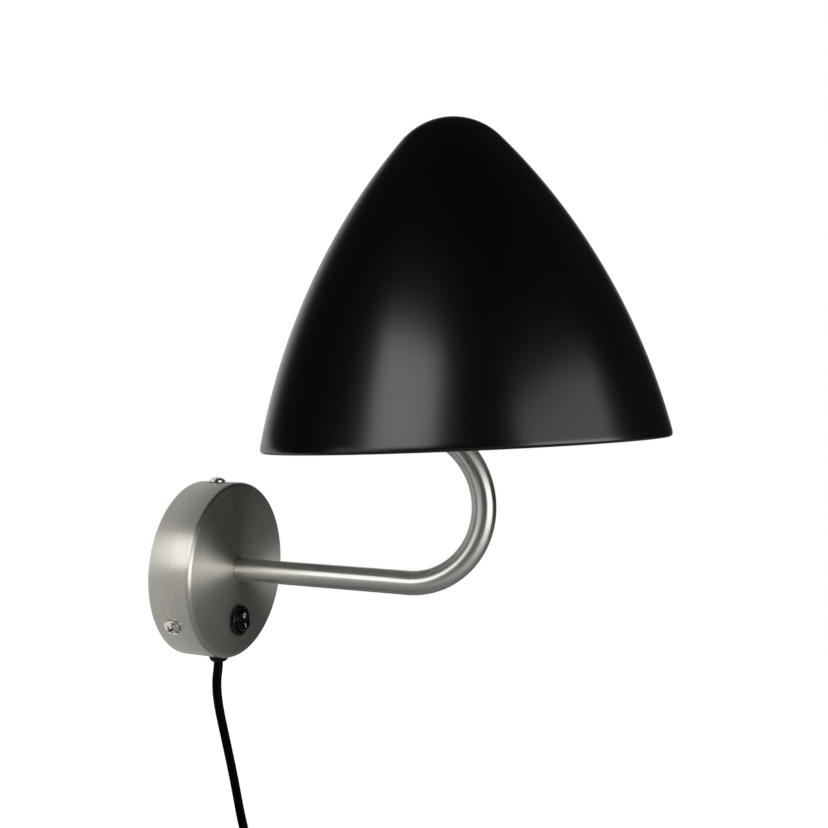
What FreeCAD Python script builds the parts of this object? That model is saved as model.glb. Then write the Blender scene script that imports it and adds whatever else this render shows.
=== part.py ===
import FreeCAD, Part
import math
import os
from FreeCAD import Placement, Rotation, Vector

# Plug-in wall lamp: a steel cup on the wall, a bent steel arm and a black bell shade.
# Millimetres. The wall is the plane y = 0 and the lamp stands out towards -Y, with +Z up.
# The origin is the middle of the wall plate's back face.

os.makedirs("parts", exist_ok=True)

# General clearances and the overrun of every cut
cut_over = 2.0
thread_clearance = 0.05
seat_gap = 0.05
fit_gap = 0.1
loose_gap = 0.25

# A bend of a cord or a lead takes this share of the shorter run beside it
bend_share = 0.45
least_turn = 1e-6

# Pan head of a screw: the shoulder and the flat top, as shares of its radius and height
pan_shoulder_share = 0.82
pan_flat_share = 0.45

# Canopy, the cup that covers the fixing on the wall
canopy_radius = 50.0
canopy_depth = 25.8
canopy_wall = 1.2
canopy_edge_radius = 2.5

# Wall plate with three bent lugs and two slots for wall screws
plate_thickness = 1.5
lug_width = 12.0
lug_gap = 0.4
lug_bend_radius = 1.5
lug_collar_radius = 3.6
lug_collar_length = 2.5
slot_spacing = 60.0
slot_width = 5.0
slot_length = 10.0

# Screws round the canopy
side_screw_angles = (90.0, 210.0, 330.0)
side_screw_from_wall = 10.8
side_screw_radius = 2.0
side_screw_length = 8.5
side_screw_head_radius = 4.7
side_screw_head_height = 2.7
side_screw_head_edge = 0.9
side_screw_slot_width = 0.9
side_screw_slot_reach = 2.7
side_screw_slot_depth = 1.1

# Round rocker switch in the canopy's face
switch_from_edge = 20.4
switch_bezel_radius = 9.0
switch_bezel_height = 2.0
switch_bezel_round = 1.1
switch_body_radius = 7.4
switch_body_depth = 11.0
switch_mouth_radius = 6.75
rocker_radius = 6.45
rocker_pivot_depth = 1.6
rocker_inset = 0.15
rocker_keel = 3.2
rocker_throw = 18.0
rocker_pin_radius = 0.8
rocker_pin_reach = 7.3
switch_tab_width = 4.8
switch_tab_thickness = 0.8
switch_tab_length = 5.5
switch_tab_spacing = 7.4

# Strain relief bush under the canopy
relief_from_wall = 12.0
relief_flange_radius = 5.5
relief_neck_radius = 4.3
relief_tip_radius = 3.7
relief_height = 4.2
relief_shoulder = 1.6
relief_inner_height = 1.8
relief_bore_gap = 0.15
relief_dome_shares = (0.93, 0.72)

# Terminal block on the wall plate
block_x = 14.0
block_z = 8.0
block_width = 17.0
block_length = 18.0
block_height = 12.5
block_pitch = 8.5
block_pole_height = 4.6
block_round = 1.2
sleeve_radius = 2.4
sleeve_bore = 1.55
sleeve_length = 16.0
clamp_screw_radius = 1.3
clamp_screw_pitch = 9.0
clamp_screw_head_radius = 1.8
clamp_screw_head_height = 1.4
block_screw_radius = 1.5
block_screw_length = 12.5
block_screw_head_radius = 2.4
block_screw_head_height = 1.6
block_screw_slot_width = 0.8

# Insulated leads
lead_radius = 0.95
lead_spacing = 2.6
arm_lead_side_share = 0.6
arm_lead_turn_short = 11.0
arm_lead_turn_rise = 11.0

# Arm: a steel tube with a straight leg and a bend that turns back up into the shade
arm_radius = 6.5
arm_straight = 104.5
arm_bend_radius = 42.2
arm_bend_angle = 158.0
arm_nipple_radius = 5.0
arm_nipple_bore = 3.5
arm_nipple_inside = 9.3
arm_nipple_in_arm = 12.0
arm_washer_radius = 11.0
arm_washer_thickness = 1.5
arm_nut_flats = 14.0
arm_nut_thickness = 3.5
arm_plug_flange = 1.6
arm_plug_spigot = 3.0

# Boss on the arm's end and the swivel that tilts the shade
boss_angle = 135.0
boss_radius = 6.0
boss_bore = 4.05
boss_height = 9.0
pivot_rise = 29.5
swivel_radius = 6.5
swivel_neck_gap = 2.0
swivel_neck_length = 9.5
swivel_split = 0.5
swivel_spigot_radius = 4.0
swivel_spigot_length = 3.0
swivel_bore = 2.7
swivel_lead_room = 3.0
swivel_socket_floor = 1.0
pivot_screw_radius = 2.0
pivot_screw_head_radius = 3.5
pivot_screw_head_height = 2.2
pivot_screw_end = 1.0
pivot_screw_slot_width = 1.0
pivot_nut_flats = 7.0
pivot_nut_thickness = 3.2
friction_washer_radius = 5.6

# Shade: a spun steel bell, its wall a long arc that runs into a small round crown
shade_tilt = 3.0
shade_crown_above_pivot = 143.8
shade_rim_radius = 106.1
shade_height = 170.0
shade_side_radius = 343.0
shade_crown_radius = 36.0
shade_wall = 0.8
shade_bead_radius = 1.5
shade_bead_turn = 34.4

# Lampholder, its nipple and its nuts
holder_nipple_length = 16.0
holder_nut_flats = 14.0
holder_nut_thickness = 3.0
holder_base_radius = 12.6
holder_base_foot_radius = 9.0
holder_base_height = 13.0
holder_base_wall = 1.5
holder_base_foot_share = 0.16
holder_base_shoulder_share = 0.45
holder_radius = 13.9
holder_height = 33.0
holder_mouth_radius = 9.4
holder_floor = 8.0
holder_insert_radius = 10.8
holder_insert_height = 7.0
holder_shell_outer = 7.7
holder_shell_wall = 0.5
holder_shell_length = 18.0

# Shade rings and spider
ring_height = 5.0
ring_radius = 18.6
ring_below_mouth = 6.0
spider_thickness = 1.2
spider_ring_radius = 19.6
spider_arm_width = 8.0
spider_foot_height = 9.0
spider_arm_count = 3
spider_slope_share = 1.4

# Bulb
bulb_cap_radius = 6.9
bulb_cap_length = 24.0
bulb_cap_wall = 0.5
bulb_tip_radius = 3.2
bulb_tip_height = 3.0
bulb_globe_radius = 22.5
bulb_glass = 0.9
bulb_length = 78.0
bulb_neck_radius = 6.4
bulb_neck_angle = -52.0
bulb_waist_shares = (0.38, 0.62)

# Mains cord: flat twin flex, drawn round at its width
cord_diameter = 5.4
cord_inside = 7.0
cord_turn_count = 8
layer_turn_count = 2
coil_mean_radius = 31.0
coil_pitch = 5.95
coil_centre_x = -20.95
coil_centre_from_wall = 14.4
coil_centre_z = -196.0
coil_step_count = 4
coil_climb_turns = 0.5

# Tie round the coil
tie_width = 7.0
tie_thickness = 1.3
tie_gap = 0.3
tie_head_length = 9.0
tie_head_height = 4.0

# Flat two-pin plug
plug_width = 35.3
plug_thickness = 13.7
plug_flat_width = 22.0
plug_face_length = 9.0
plug_neck_width = 14.0
plug_neck_thickness = 10.0
plug_taper_length = 16.0
plug_relief_length = 13.0
plug_relief_radius = 4.4
plug_relief_tip_radius = 3.4
plug_socket_depth = 3.0
plug_neck_flat_share = 0.6
pin_radius = 2.0
pin_length = 19.0
pin_spacing = 19.0
pin_root = 6.0
pin_root_radius = 1.6
pin_shank_radius = 1.9
pin_shank_length = 10.0
pin_tip_round = 1.0

# Worked out from the sizes above
canopy_inner_radius = canopy_radius - canopy_wall
canopy_inner_depth = canopy_depth - canopy_wall
arm_bore = arm_nipple_radius + thread_clearance
arm_turn_y = canopy_depth + arm_straight
switch_drop = canopy_radius - switch_from_edge
shade_below_pivot = shade_height - shade_crown_above_pivot
cord_radius = cord_diameter / 2
coil_outer_radius = coil_mean_radius + coil_pitch * layer_turn_count / 2
coil_layers = cord_turn_count // layer_turn_count
coil_front_y = -coil_centre_from_wall - coil_pitch * (coil_layers - 1) / 2
coil_back_y = coil_front_y + coil_pitch * (coil_layers - 1)
coil_start_x = coil_centre_x + coil_outer_radius

up = Vector(0, 0, 1)
out = Vector(0, -1, 0)
right = Vector(1, 0, 0)
origin = Vector(0, 0, 0)

# Control points of the free cord, from the canopy to the coil, as the photograph shows it
cord_route = [
    Vector(0.0, -relief_from_wall, -43.0),
    Vector(0.0, -relief_from_wall, -56.0),
    Vector(-1.6, -11.3, -66.5),
    Vector(-0.5, -11.9, -80.0),
    Vector(4.0, -13.9, -100.5),
    Vector(8.9, -16.9, -126.5),
    Vector(12.9, -19.2, -151.0),
    Vector(coil_start_x, coil_front_y, -172.0),
    Vector(coil_start_x, coil_front_y, coil_centre_z + cord_diameter),
]

# Control points of the tail, from the coil to the plug
tail_route = [
    Vector(coil_start_x, coil_back_y, coil_centre_z - cord_diameter),
    Vector(coil_start_x, coil_back_y, -213.5),
    Vector(14.0, -9.6, -227.0),
    Vector(14.0, -9.6, -239.0),
]


def outline(start, steps):
    """Wire in the XZ plane; a step is a corner (x, z) or a pair (point on the arc, its end)."""
    edges = []
    here = Vector(start[0], 0, start[1])
    for step in steps:
        if isinstance(step[0], tuple):
            middle = Vector(step[0][0], 0, step[0][1])
            there = Vector(step[1][0], 0, step[1][1])
            edges.append(Part.Arc(here, middle, there).toShape())
        else:
            there = Vector(step[0], 0, step[1])
            edges.append(Part.LineSegment(here, there).toShape())
        here = there
    return Part.Wire(edges)


def turned(start, steps, place=origin, direction=up):
    """Solid of revolution: x of the outline is its radius, z runs along direction from place."""
    solid = Part.Face(outline(start, steps)).revolve(origin, up, 360)
    solid.Placement = Placement(place, Rotation(up, direction))
    return solid


def rod(start, end, radius):
    along = end - start
    return Part.makeCylinder(radius, along.Length, start, along)


def ring(start, end, outer, bore):
    along = end - start
    over = along * (cut_over / along.Length)
    return rod(start, end, outer).cut(rod(start - over, end + over, bore))


def box(low, high):
    size = high - low
    return Part.makeBox(size.x, size.y, size.z, low)


def corner_on_circle(radius, degrees):
    """Point beside the middle of a rounded corner, as (across, along) from the arc's centre."""
    return radius * math.cos(math.radians(degrees)), radius * math.sin(math.radians(degrees))


def hex_nut(flats, thickness, bore, place, direction):
    corner = flats / math.sqrt(3)
    points = []
    for step in range(7):
        angle = math.radians(60 * step)
        points.append(Vector(corner * math.cos(angle), corner * math.sin(angle), 0))
    prism = Part.Face(Part.makePolygon(points)).extrude(up * thickness)
    drop = (corner - flats / 2) / math.sqrt(3)
    crown = turned((0, 0), [(flats / 2, 0), (corner, drop), (corner, thickness - drop),
                            (flats / 2, thickness), (0, thickness), (0, 0)])
    nut = prism.common(crown)
    nut = nut.cut(rod(up * -cut_over, up * (thickness + cut_over), bore))
    nut.Placement = Placement(place, Rotation(up, direction))
    return nut


def arc_between(start, end, tangent):
    """Arc that leaves start along tangent and reaches end."""
    chord = end - start
    across = chord * (1 / chord.Length)
    turn = tangent.getAngle(chord)
    if turn < least_turn:
        return Part.LineSegment(start, end).toShape()
    side = tangent - across * tangent.dot(across)
    side.normalize()
    middle = (start + end) * 0.5 + side * (chord.Length / 2 * math.tan(turn / 2))
    return Part.Arc(start, middle, end).toShape()


def rounded_route(points):
    """Straight runs joined by tangent arcs as large as the two runs allow."""
    edges = []
    radii = []
    here = points[0]
    for before, corner, after in zip(points, points[1:], points[2:]):
        back = before - corner
        forward = after - corner
        cut = bend_share * min(back.Length, forward.Length)
        first = corner + back * (cut / back.Length)
        last = corner + forward * (cut / forward.Length)
        half_turn = (math.pi - back.getAngle(forward)) / 2
        radii.append(cut / math.tan(half_turn))
        edges.append(Part.LineSegment(here, first).toShape())
        edges.append(arc_between(first, last, back * -1))
        here = last
    edges.append(Part.LineSegment(here, points[-1]).toShape())
    return Part.Wire(edges), radii


def swept(path, radius):
    """Round tube along a smooth wire."""
    first = path.Edges[0]
    start = first.valueAt(first.FirstParameter)
    heading = first.tangentAt(first.FirstParameter)
    profile = Part.Wire(Part.Circle(start, heading, radius).toShape())
    return path.makePipeShell([profile], True, False)


def in_face(shape, place):
    """Carry a shape drawn with +Z out of the wall to its place on the canopy's face."""
    shape.Placement = Placement(place, Rotation(right, 90)).multiply(shape.Placement)
    return shape


def along_wall(angle, radius, from_wall):
    """Point round the canopy's axis."""
    turn = math.radians(angle)
    return Vector(radius * math.cos(turn), -from_wall, radius * math.sin(turn))


def spun_about_canopy(shape, angle):
    shape.rotate(origin, out, angle)
    return shape


def make_canopy_cover():
    edge = canopy_edge_radius
    inner = canopy_edge_radius - canopy_wall
    middle_out = corner_on_circle(edge, 45)
    middle_in = corner_on_circle(inner, 45)
    side = canopy_radius - edge
    face = canopy_depth - edge
    hole = arm_nipple_radius + loose_gap
    cover = turned((canopy_radius, 0), [
        (canopy_radius, face),
        ((side + middle_out[0], face + middle_out[1]), (side, canopy_depth)),
        (hole, canopy_depth),
        (hole, canopy_inner_depth),
        (side, canopy_inner_depth),
        ((side + middle_in[0], face + middle_in[1]), (canopy_inner_radius, face)),
        (canopy_inner_radius, 0),
        (canopy_radius, 0)], origin, out)
    for angle in side_screw_angles:
        inside = along_wall(angle, canopy_inner_radius - cut_over, side_screw_from_wall)
        outside = along_wall(angle, canopy_radius + cut_over, side_screw_from_wall)
        cover = cover.cut(rod(inside, outside, side_screw_radius + loose_gap))
    switch_at = Vector(0, -canopy_depth - cut_over, -switch_drop)
    switch_in = Vector(0, -canopy_inner_depth + cut_over, -switch_drop)
    cover = cover.cut(rod(switch_at, switch_in, switch_body_radius + fit_gap))
    bush_top = Vector(0, -relief_from_wall, -canopy_inner_radius + cut_over)
    bush_low = Vector(0, -relief_from_wall, -canopy_radius - cut_over)
    return cover.cut(rod(bush_top, bush_low, relief_neck_radius + fit_gap))


def lug_face():
    """Distance of a lug's outer face from the canopy's axis."""
    return math.sqrt((canopy_inner_radius - lug_gap) ** 2 - (lug_width / 2) ** 2)


def make_lug(angle):
    face = lug_face()
    reach = side_screw_from_wall + lug_width / 2
    outer_bend = lug_bend_radius + plate_thickness
    root = face - outer_bend - lug_width
    middle_out = corner_on_circle(outer_bend, -45)
    middle_in = corner_on_circle(lug_bend_radius, -45)
    strip = outline((root, 0), [
        (face - outer_bend, 0),
        ((face - outer_bend + middle_out[0], outer_bend + middle_out[1]), (face, outer_bend)),
        (face, reach),
        (face - plate_thickness, reach),
        (face - plate_thickness, outer_bend),
        ((face - outer_bend + middle_in[0], outer_bend + middle_in[1]),
         (face - outer_bend, plate_thickness)),
        (root, plate_thickness),
        (root, 0)])
    lug = Part.Face(strip).extrude(Vector(0, lug_width, 0))
    lug.translate(Vector(0, -lug_width / 2, 0))
    tongue = box(Vector(0, -lug_width / 2, -cut_over),
                 Vector(canopy_radius, lug_width / 2, side_screw_from_wall))
    screw_level = Vector(0, 0, side_screw_from_wall)
    tongue = tongue.fuse(rod(screw_level, screw_level + right * canopy_radius, lug_width / 2))
    lug = lug.common(tongue)
    collar_end = Vector(face - plate_thickness - lug_collar_length, 0, side_screw_from_wall)
    lug = lug.fuse(rod(collar_end, Vector(face - plate_thickness / 2, 0, side_screw_from_wall),
                       lug_collar_radius))
    lug = lug.cut(rod(collar_end - right * cut_over, screw_level + right * canopy_radius,
                      side_screw_radius + thread_clearance))
    lug.rotate(origin, right, 90)
    return spun_about_canopy(lug, angle)


def make_wall_plate():
    face = lug_face()
    disc_radius = face - lug_bend_radius - plate_thickness - plate_thickness
    plate = rod(origin, out * plate_thickness, disc_radius)
    for angle in side_screw_angles:
        plate = plate.fuse(make_lug(angle))
    half_run = (slot_length - slot_width) / 2
    for side in (-1, 1):
        middle = side * slot_spacing / 2
        low = Vector(middle - half_run, -plate_thickness - cut_over, -slot_width / 2)
        high = Vector(middle + half_run, cut_over, slot_width / 2)
        slot = box(low, high)
        for end in (-half_run, half_run):
            back = Vector(middle + end, cut_over, 0)
            front = Vector(middle + end, -plate_thickness - cut_over, 0)
            slot = slot.fuse(rod(back, front, slot_width / 2))
        plate = plate.cut(slot)
    screw_hole = block_screw_place()
    plate = plate.cut(rod(Vector(screw_hole.x, cut_over, screw_hole.z),
                          Vector(screw_hole.x, -plate_thickness - cut_over, screw_hole.z),
                          block_screw_radius + thread_clearance))
    return plate.removeSplitter()


def pan_head(radius, height, edge, slot_width, slot_reach, slot_depth):
    """Screw head standing on z = 0 with a cross recess."""
    head = turned((0, 0), [
        (radius, 0), (radius, edge),
        ((radius * pan_shoulder_share, height * pan_shoulder_share),
         (radius * pan_flat_share, height)),
        (0, height), (0, 0)])
    for turn in (0, 90):
        bar = box(Vector(-slot_reach, -slot_width / 2, height - slot_depth),
                  Vector(slot_reach, slot_width / 2, height + cut_over))
        bar.rotate(origin, up, turn)
        head = head.cut(bar)
    return head


def make_canopy_screws():
    screws = []
    for angle in side_screw_angles:
        head = pan_head(side_screw_head_radius, side_screw_head_height, side_screw_head_edge,
                        side_screw_slot_width, side_screw_slot_reach, side_screw_slot_depth)
        screw = head.fuse(rod(origin, up * -side_screw_length, side_screw_radius))
        seat = along_wall(angle, canopy_radius + seat_gap, side_screw_from_wall)
        outward = along_wall(angle, 1, 0)
        screw.Placement = Placement(seat, Rotation(up, outward))
        screws.append(screw)
    return Part.makeCompound(screws)


def switch_place():
    return Vector(0, -canopy_depth, -switch_drop)


def rocker_level():
    """Height of the rocker's axis above the canopy's face."""
    return switch_bezel_height - rocker_pivot_depth


def make_switch_body():
    inner = switch_mouth_radius
    round_off = switch_bezel_round
    middle = corner_on_circle(round_off, 45)
    rim = switch_bezel_radius - round_off
    top = switch_bezel_height - round_off
    swing = math.radians(rocker_throw)
    sphere_edge = math.sqrt(rocker_radius ** 2 - rocker_keel ** 2)
    sweep = rocker_keel * math.cos(swing) + sphere_edge * math.sin(swing)
    floor = rocker_level() - sweep - loose_gap
    body = turned((0, -switch_body_depth), [
        (switch_body_radius, -switch_body_depth),
        (switch_body_radius, seat_gap),
        (switch_bezel_radius, seat_gap),
        (switch_bezel_radius, top),
        ((rim + middle[0], top + middle[1]), (rim, switch_bezel_height)),
        (inner, switch_bezel_height),
        (inner, floor),
        (0, floor),
        (0, -switch_body_depth)])
    reach = rocker_pin_reach + loose_gap
    level = up * rocker_level()
    body = body.cut(rod(level - right * reach, level + right * reach,
                        rocker_pin_radius + thread_clearance))
    return in_face(body, switch_place())


def make_switch_rocker():
    level = rocker_level()
    ball = Part.makeSphere(rocker_radius, Vector(0, 0, level))
    surface = level + rocker_pivot_depth - rocker_inset
    rise = rocker_radius * math.tan(math.radians(rocker_throw))
    side = [Vector(-rocker_radius, rocker_radius, level - rocker_keel),
            Vector(-rocker_radius, rocker_radius, surface),
            Vector(-rocker_radius, 0, surface),
            Vector(-rocker_radius, -rocker_radius, surface + rise),
            Vector(-rocker_radius, -rocker_radius, level - rocker_keel)]
    block = Part.Face(Part.makePolygon(side + side[:1])).extrude(right * (2 * rocker_radius))
    rocker = ball.common(block)
    centre = up * level
    pins = rod(centre - right * rocker_pin_reach, centre + right * rocker_pin_reach,
               rocker_pin_radius)
    return in_face(rocker.fuse(pins), switch_place())


def make_switch_tabs():
    tabs = []
    for side in (-1, 1):
        level = side * switch_tab_spacing / 2
        low = Vector(-switch_tab_width / 2, level - switch_tab_thickness / 2,
                     -switch_body_depth - switch_tab_length)
        high = Vector(switch_tab_width / 2, level + switch_tab_thickness / 2,
                      -switch_body_depth - seat_gap)
        tabs.append(in_face(box(low, high), switch_place()))
    return Part.makeCompound(tabs)


def make_strain_relief():
    bore = cord_radius + relief_bore_gap
    flange_at_wall = math.sqrt(canopy_inner_radius ** 2 - relief_flange_radius ** 2)
    inner_top = -(canopy_radius - flange_at_wall) - seat_gap
    inner_end = inner_top - relief_inner_height
    dome_middle = (relief_flange_radius * relief_dome_shares[0],
                   relief_height * relief_dome_shares[1])
    place = Vector(0, -relief_from_wall, -canopy_radius)
    return turned((bore, inner_end), [
        (relief_flange_radius, inner_end),
        (relief_flange_radius, inner_top),
        (relief_neck_radius, inner_top),
        (relief_neck_radius, seat_gap),
        (relief_flange_radius, seat_gap),
        (relief_flange_radius, relief_shoulder),
        (dome_middle, (relief_tip_radius, relief_height)),
        (bore, relief_height),
        (bore, inner_end)], place, up * -1)


def pole_places():
    """Axis of each pole of the terminal block, at the block's lower end."""
    middle = block_x + block_width / 2
    level = -plate_thickness - block_pole_height
    return [Vector(middle - block_pitch / 2, level, block_z),
            Vector(middle + block_pitch / 2, level, block_z)]


def block_screw_place():
    return Vector(block_x + block_width / 2, -plate_thickness - block_height,
                  block_z + block_length / 2)


def clamp_screw_places():
    front = -plate_thickness - block_height
    places = []
    for pole in pole_places():
        for side in (-1, 1):
            level = block_z + block_length / 2 + side * clamp_screw_pitch / 2
            places.append(Vector(pole.x, front, level))
    return places


def make_terminal_block():
    low = Vector(block_x, -plate_thickness - block_height, block_z)
    high = Vector(block_x + block_width, -plate_thickness - seat_gap, block_z + block_length)
    body = box(low, high)
    upright = [edge for edge in body.Edges if edge.BoundBox.ZLength > block_length / 2]
    front = [edge for edge in upright if edge.BoundBox.YMax < -block_height]
    body = body.makeFillet(block_round, front)
    for pole in pole_places():
        start = pole - up * cut_over
        end = pole + up * (block_length + cut_over)
        body = body.cut(rod(start, end, sleeve_radius + fit_gap))
    for place in clamp_screw_places():
        pocket = rod(place + out * cut_over, place - out * (block_height - block_pole_height),
                     clamp_screw_head_radius + fit_gap)
        body = body.cut(pocket)
    hole = block_screw_place()
    return body.cut(rod(hole + out * cut_over, hole - out * (block_height + cut_over),
                        block_screw_radius + fit_gap))


def make_terminal_sleeves():
    sleeves = []
    for pole in pole_places():
        start = pole + up * ((block_length - sleeve_length) / 2)
        sleeve = ring(start, start + up * sleeve_length, sleeve_radius, sleeve_bore)
        for place in clamp_screw_places():
            if abs(place.x - pole.x) < block_pitch / 2:
                sleeve = sleeve.cut(rod(place, Vector(place.x, pole.y, place.z),
                                        clamp_screw_radius + thread_clearance))
        sleeves.append(sleeve)
    return Part.makeCompound(sleeves)


def make_terminal_screws():
    screws = []
    for place in clamp_screw_places():
        top = place - out * clamp_screw_head_height
        tip = Vector(place.x, pole_places()[0].y - lead_radius - fit_gap, place.z)
        head = rod(place, top, clamp_screw_head_radius)
        slot = box(place + Vector(-cut_over, -cut_over, -clamp_screw_head_height / 4),
                   place + Vector(cut_over, clamp_screw_head_height / 2,
                                  clamp_screw_head_height / 4))
        screws.append(head.cut(slot).fuse(rod(top, tip, clamp_screw_radius)))
    return Part.makeCompound(screws)


def make_block_screw():
    place = block_screw_place() + out * seat_gap
    head = pan_head(block_screw_head_radius, block_screw_head_height,
                    block_screw_head_height / 3, block_screw_slot_width,
                    block_screw_head_radius / 2, block_screw_head_height / 2)
    screw = head.fuse(rod(origin, up * -block_screw_length, block_screw_radius))
    screw.Placement = Placement(place, Rotation(up, out))
    return screw


def lead_along(points):
    path, radii = rounded_route(points)
    print("  lead bends", [round(radius, 1) for radius in radii])
    return swept(path, lead_radius)


def cord_mouth():
    """End of the cord's sheath inside the canopy."""
    return Vector(0, -relief_from_wall, -canopy_radius + cord_inside)


def tab_contact(side):
    """Place on a switch tab where its lead is soldered."""
    level = -switch_drop + side * (switch_tab_spacing / 2 + switch_tab_thickness / 2 + seat_gap)
    return Vector(0, -canopy_depth + switch_body_depth + switch_tab_length / 2, level)


def make_supply_leads():
    mouth = cord_mouth() + up * seat_gap
    half = lead_spacing / 2
    tab = tab_contact(-1)
    poles = pole_places()
    live = lead_along([
        mouth - right * half,
        mouth - right * half + up * (lead_radius * 3),
        Vector(-half, tab.y, tab.z - lead_radius * 4),
        Vector(-half, tab.y, tab.z)])
    inside = (sleeve_length - clamp_screw_pitch) / 2
    neutral = lead_along([
        mouth + right * half,
        mouth + right * half + up * (lead_radius * 2),
        Vector(switch_body_radius, poles[1].y - lead_radius * 2, -switch_drop - lead_radius * 5),
        Vector(poles[1].x, poles[1].y, -switch_drop / 2 - lead_radius * 2),
        poles[1] + up * inside])
    return Part.makeCompound([live, neutral])


def make_switch_lead():
    tab = tab_contact(1)
    pole = pole_places()[0]
    inside = (sleeve_length - clamp_screw_pitch) / 2
    return lead_along([
        tab,
        tab + up * (lead_radius * 4),
        Vector(pole.x / 2, (tab.y + pole.y) / 2, -switch_drop / 2),
        Vector(pole.x, pole.y, -lead_radius * 6),
        pole + up * inside])


def arm_frame(angle):
    """Centre of the arm and its heading at a turn of the bend."""
    turn = math.radians(angle)
    centre = Vector(0, -arm_turn_y - arm_bend_radius * math.sin(turn),
                    arm_bend_radius - arm_bend_radius * math.cos(turn))
    return centre, Vector(0, -math.cos(turn), math.sin(turn))


def pivot_place():
    centre, heading = arm_frame(boss_angle)
    return Vector(0, centre.y, centre.z + pivot_rise)


def make_arm_leads():
    leads = []
    poles = pole_places()
    top = block_z + block_length
    inside = (sleeve_length - clamp_screw_pitch) / 2
    level = -canopy_depth + canopy_wall + arm_nipple_inside + lead_radius * 2
    turn_over = boss_angle - arm_lead_turn_short
    for side, pole, high in ((1, poles[0], top + lead_spacing * 3),
                             (-1, poles[1], top + lead_spacing * 5)):
        shift = right * (side * lead_spacing / 2)
        points = [
            Vector(pole.x, pole.y, top - inside),
            Vector(pole.x, pole.y, high - lead_spacing * 2),
            Vector(pole.x * arm_lead_side_share, (pole.y + level) / 2, high),
            Vector(shift.x, level + lead_radius, high - lead_spacing * 3),
            Vector(shift.x, level, arm_lead_turn_rise),
            Vector(shift.x, level, 0),
            Vector(shift.x, -canopy_depth - arm_nipple_in_arm, 0)]
        inner_path, radii = rounded_route(points)
        print("  arm lead bends", [round(radius, 1) for radius in radii])
        start = points[-1]
        turn_start = Vector(shift.x, -arm_turn_y, 0)
        half_way = arm_frame(turn_over / 2)[0] + shift
        turn_end, heading = arm_frame(turn_over)
        pivot = pivot_place()
        run = (pivot.y - turn_end.y) / heading.y
        corner = turn_end + heading * run
        cut = run * bend_share
        bend_end = corner + up * cut
        edges = list(inner_path.Edges)
        edges.append(Part.LineSegment(start, turn_start).toShape())
        edges.append(Part.Arc(turn_start, half_way, turn_end + shift).toShape())
        bend_start = corner - heading * cut + shift
        edges.append(Part.LineSegment(turn_end + shift, bend_start).toShape())
        edges.append(arc_between(bend_start, bend_end + shift, heading))
        stop = Vector(shift.x, pivot.y, swivel_bottom() + swivel_lead_room)
        edges.append(Part.LineSegment(bend_end + shift, stop).toShape())
        leads.append(swept(Part.Wire(edges), lead_radius))
    return Part.makeCompound(leads)


def make_arm_nipple():
    inside = out * (canopy_inner_depth - arm_nipple_inside)
    return ring(inside, out * (canopy_depth + arm_nipple_in_arm), arm_nipple_radius,
                arm_nipple_bore)


def make_arm_washer():
    back = out * (canopy_inner_depth - seat_gap)
    return ring(back, back - out * arm_washer_thickness, arm_washer_radius,
                arm_nipple_radius + fit_gap)


def make_arm_nut():
    place = out * (canopy_inner_depth - arm_washer_thickness - 2 * seat_gap)
    return hex_nut(arm_nut_flats, arm_nut_thickness, arm_nipple_radius + thread_clearance,
                   place, out * -1)


def arm_solid(radius, extra):
    """Solid round bar along the arm; extra lengthens both ends."""
    turn_start = out * arm_turn_y
    half_way, heading = arm_frame(arm_bend_angle / 2)
    end, heading = arm_frame(arm_bend_angle)
    edges = [Part.LineSegment(out * (canopy_depth - extra), turn_start).toShape(),
             Part.Arc(turn_start, half_way, end).toShape()]
    if extra > 0:
        edges.append(Part.LineSegment(end, end + heading * extra).toShape())
    return swept(Part.Wire(edges), radius)


def make_arm_tube():
    tube = arm_solid(arm_radius, 0).cut(arm_solid(arm_bore, cut_over))
    centre, heading = arm_frame(boss_angle)
    return tube.cut(rod(centre, centre + up * (arm_radius * 3), boss_bore - loose_gap))


def make_arm_plug():
    end, heading = arm_frame(arm_bend_angle)
    spigot = arm_bore - fit_gap - thread_clearance
    ball = (arm_radius ** 2 + arm_plug_flange ** 2) / (2 * arm_plug_flange)
    half = math.asin(arm_radius / ball) / 2
    top = seat_gap + arm_plug_flange
    dome = (ball * math.sin(half), top - ball * (1 - math.cos(half)))
    return turned((0, -arm_plug_spigot), [
        (spigot, -arm_plug_spigot), (spigot, seat_gap), (arm_radius, seat_gap),
        (dome, (0, top)), (0, -arm_plug_spigot)], end, heading)


def swivel_bottom():
    """Level of the swivel's seat on the boss."""
    return arm_frame(boss_angle)[0].z + arm_radius + boss_height


def make_arm_boss():
    centre, heading = arm_frame(boss_angle)
    top = Vector(0, centre.y, swivel_bottom() - seat_gap)
    boss = ring(centre, top, boss_radius, boss_bore)
    return boss.cut(arm_solid(arm_radius + fit_gap, 0))


def swivel_half(side, neck_length, spigot):
    """One half of the swivel with its axis at the origin and its neck below it."""
    radius = swivel_radius
    neck_top = -radius - swivel_neck_gap
    neck_end = neck_top - neck_length
    body = rod(up * neck_end, origin, radius)
    face = right * (side * swivel_split / 2)
    body = body.fuse(rod(face, right * (side * radius), radius))
    other = box(Vector(-radius - cut_over, -radius - cut_over, neck_top),
                Vector(radius + cut_over, radius + cut_over, radius + cut_over))
    other.translate(right * (-side * (radius + cut_over) + face.x))
    body = body.cut(other)
    half = body.cut(rod(right * -(radius + cut_over), right * (radius + cut_over),
                        pivot_screw_radius + thread_clearance))
    if spigot > 0:
        half = half.fuse(rod(up * (neck_end - spigot), up * neck_end, swivel_spigot_radius))
        half = half.cut(rod(up * (neck_end - spigot - cut_over),
                            up * (neck_end + swivel_lead_room + cut_over), swivel_bore))
    return half


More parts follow.
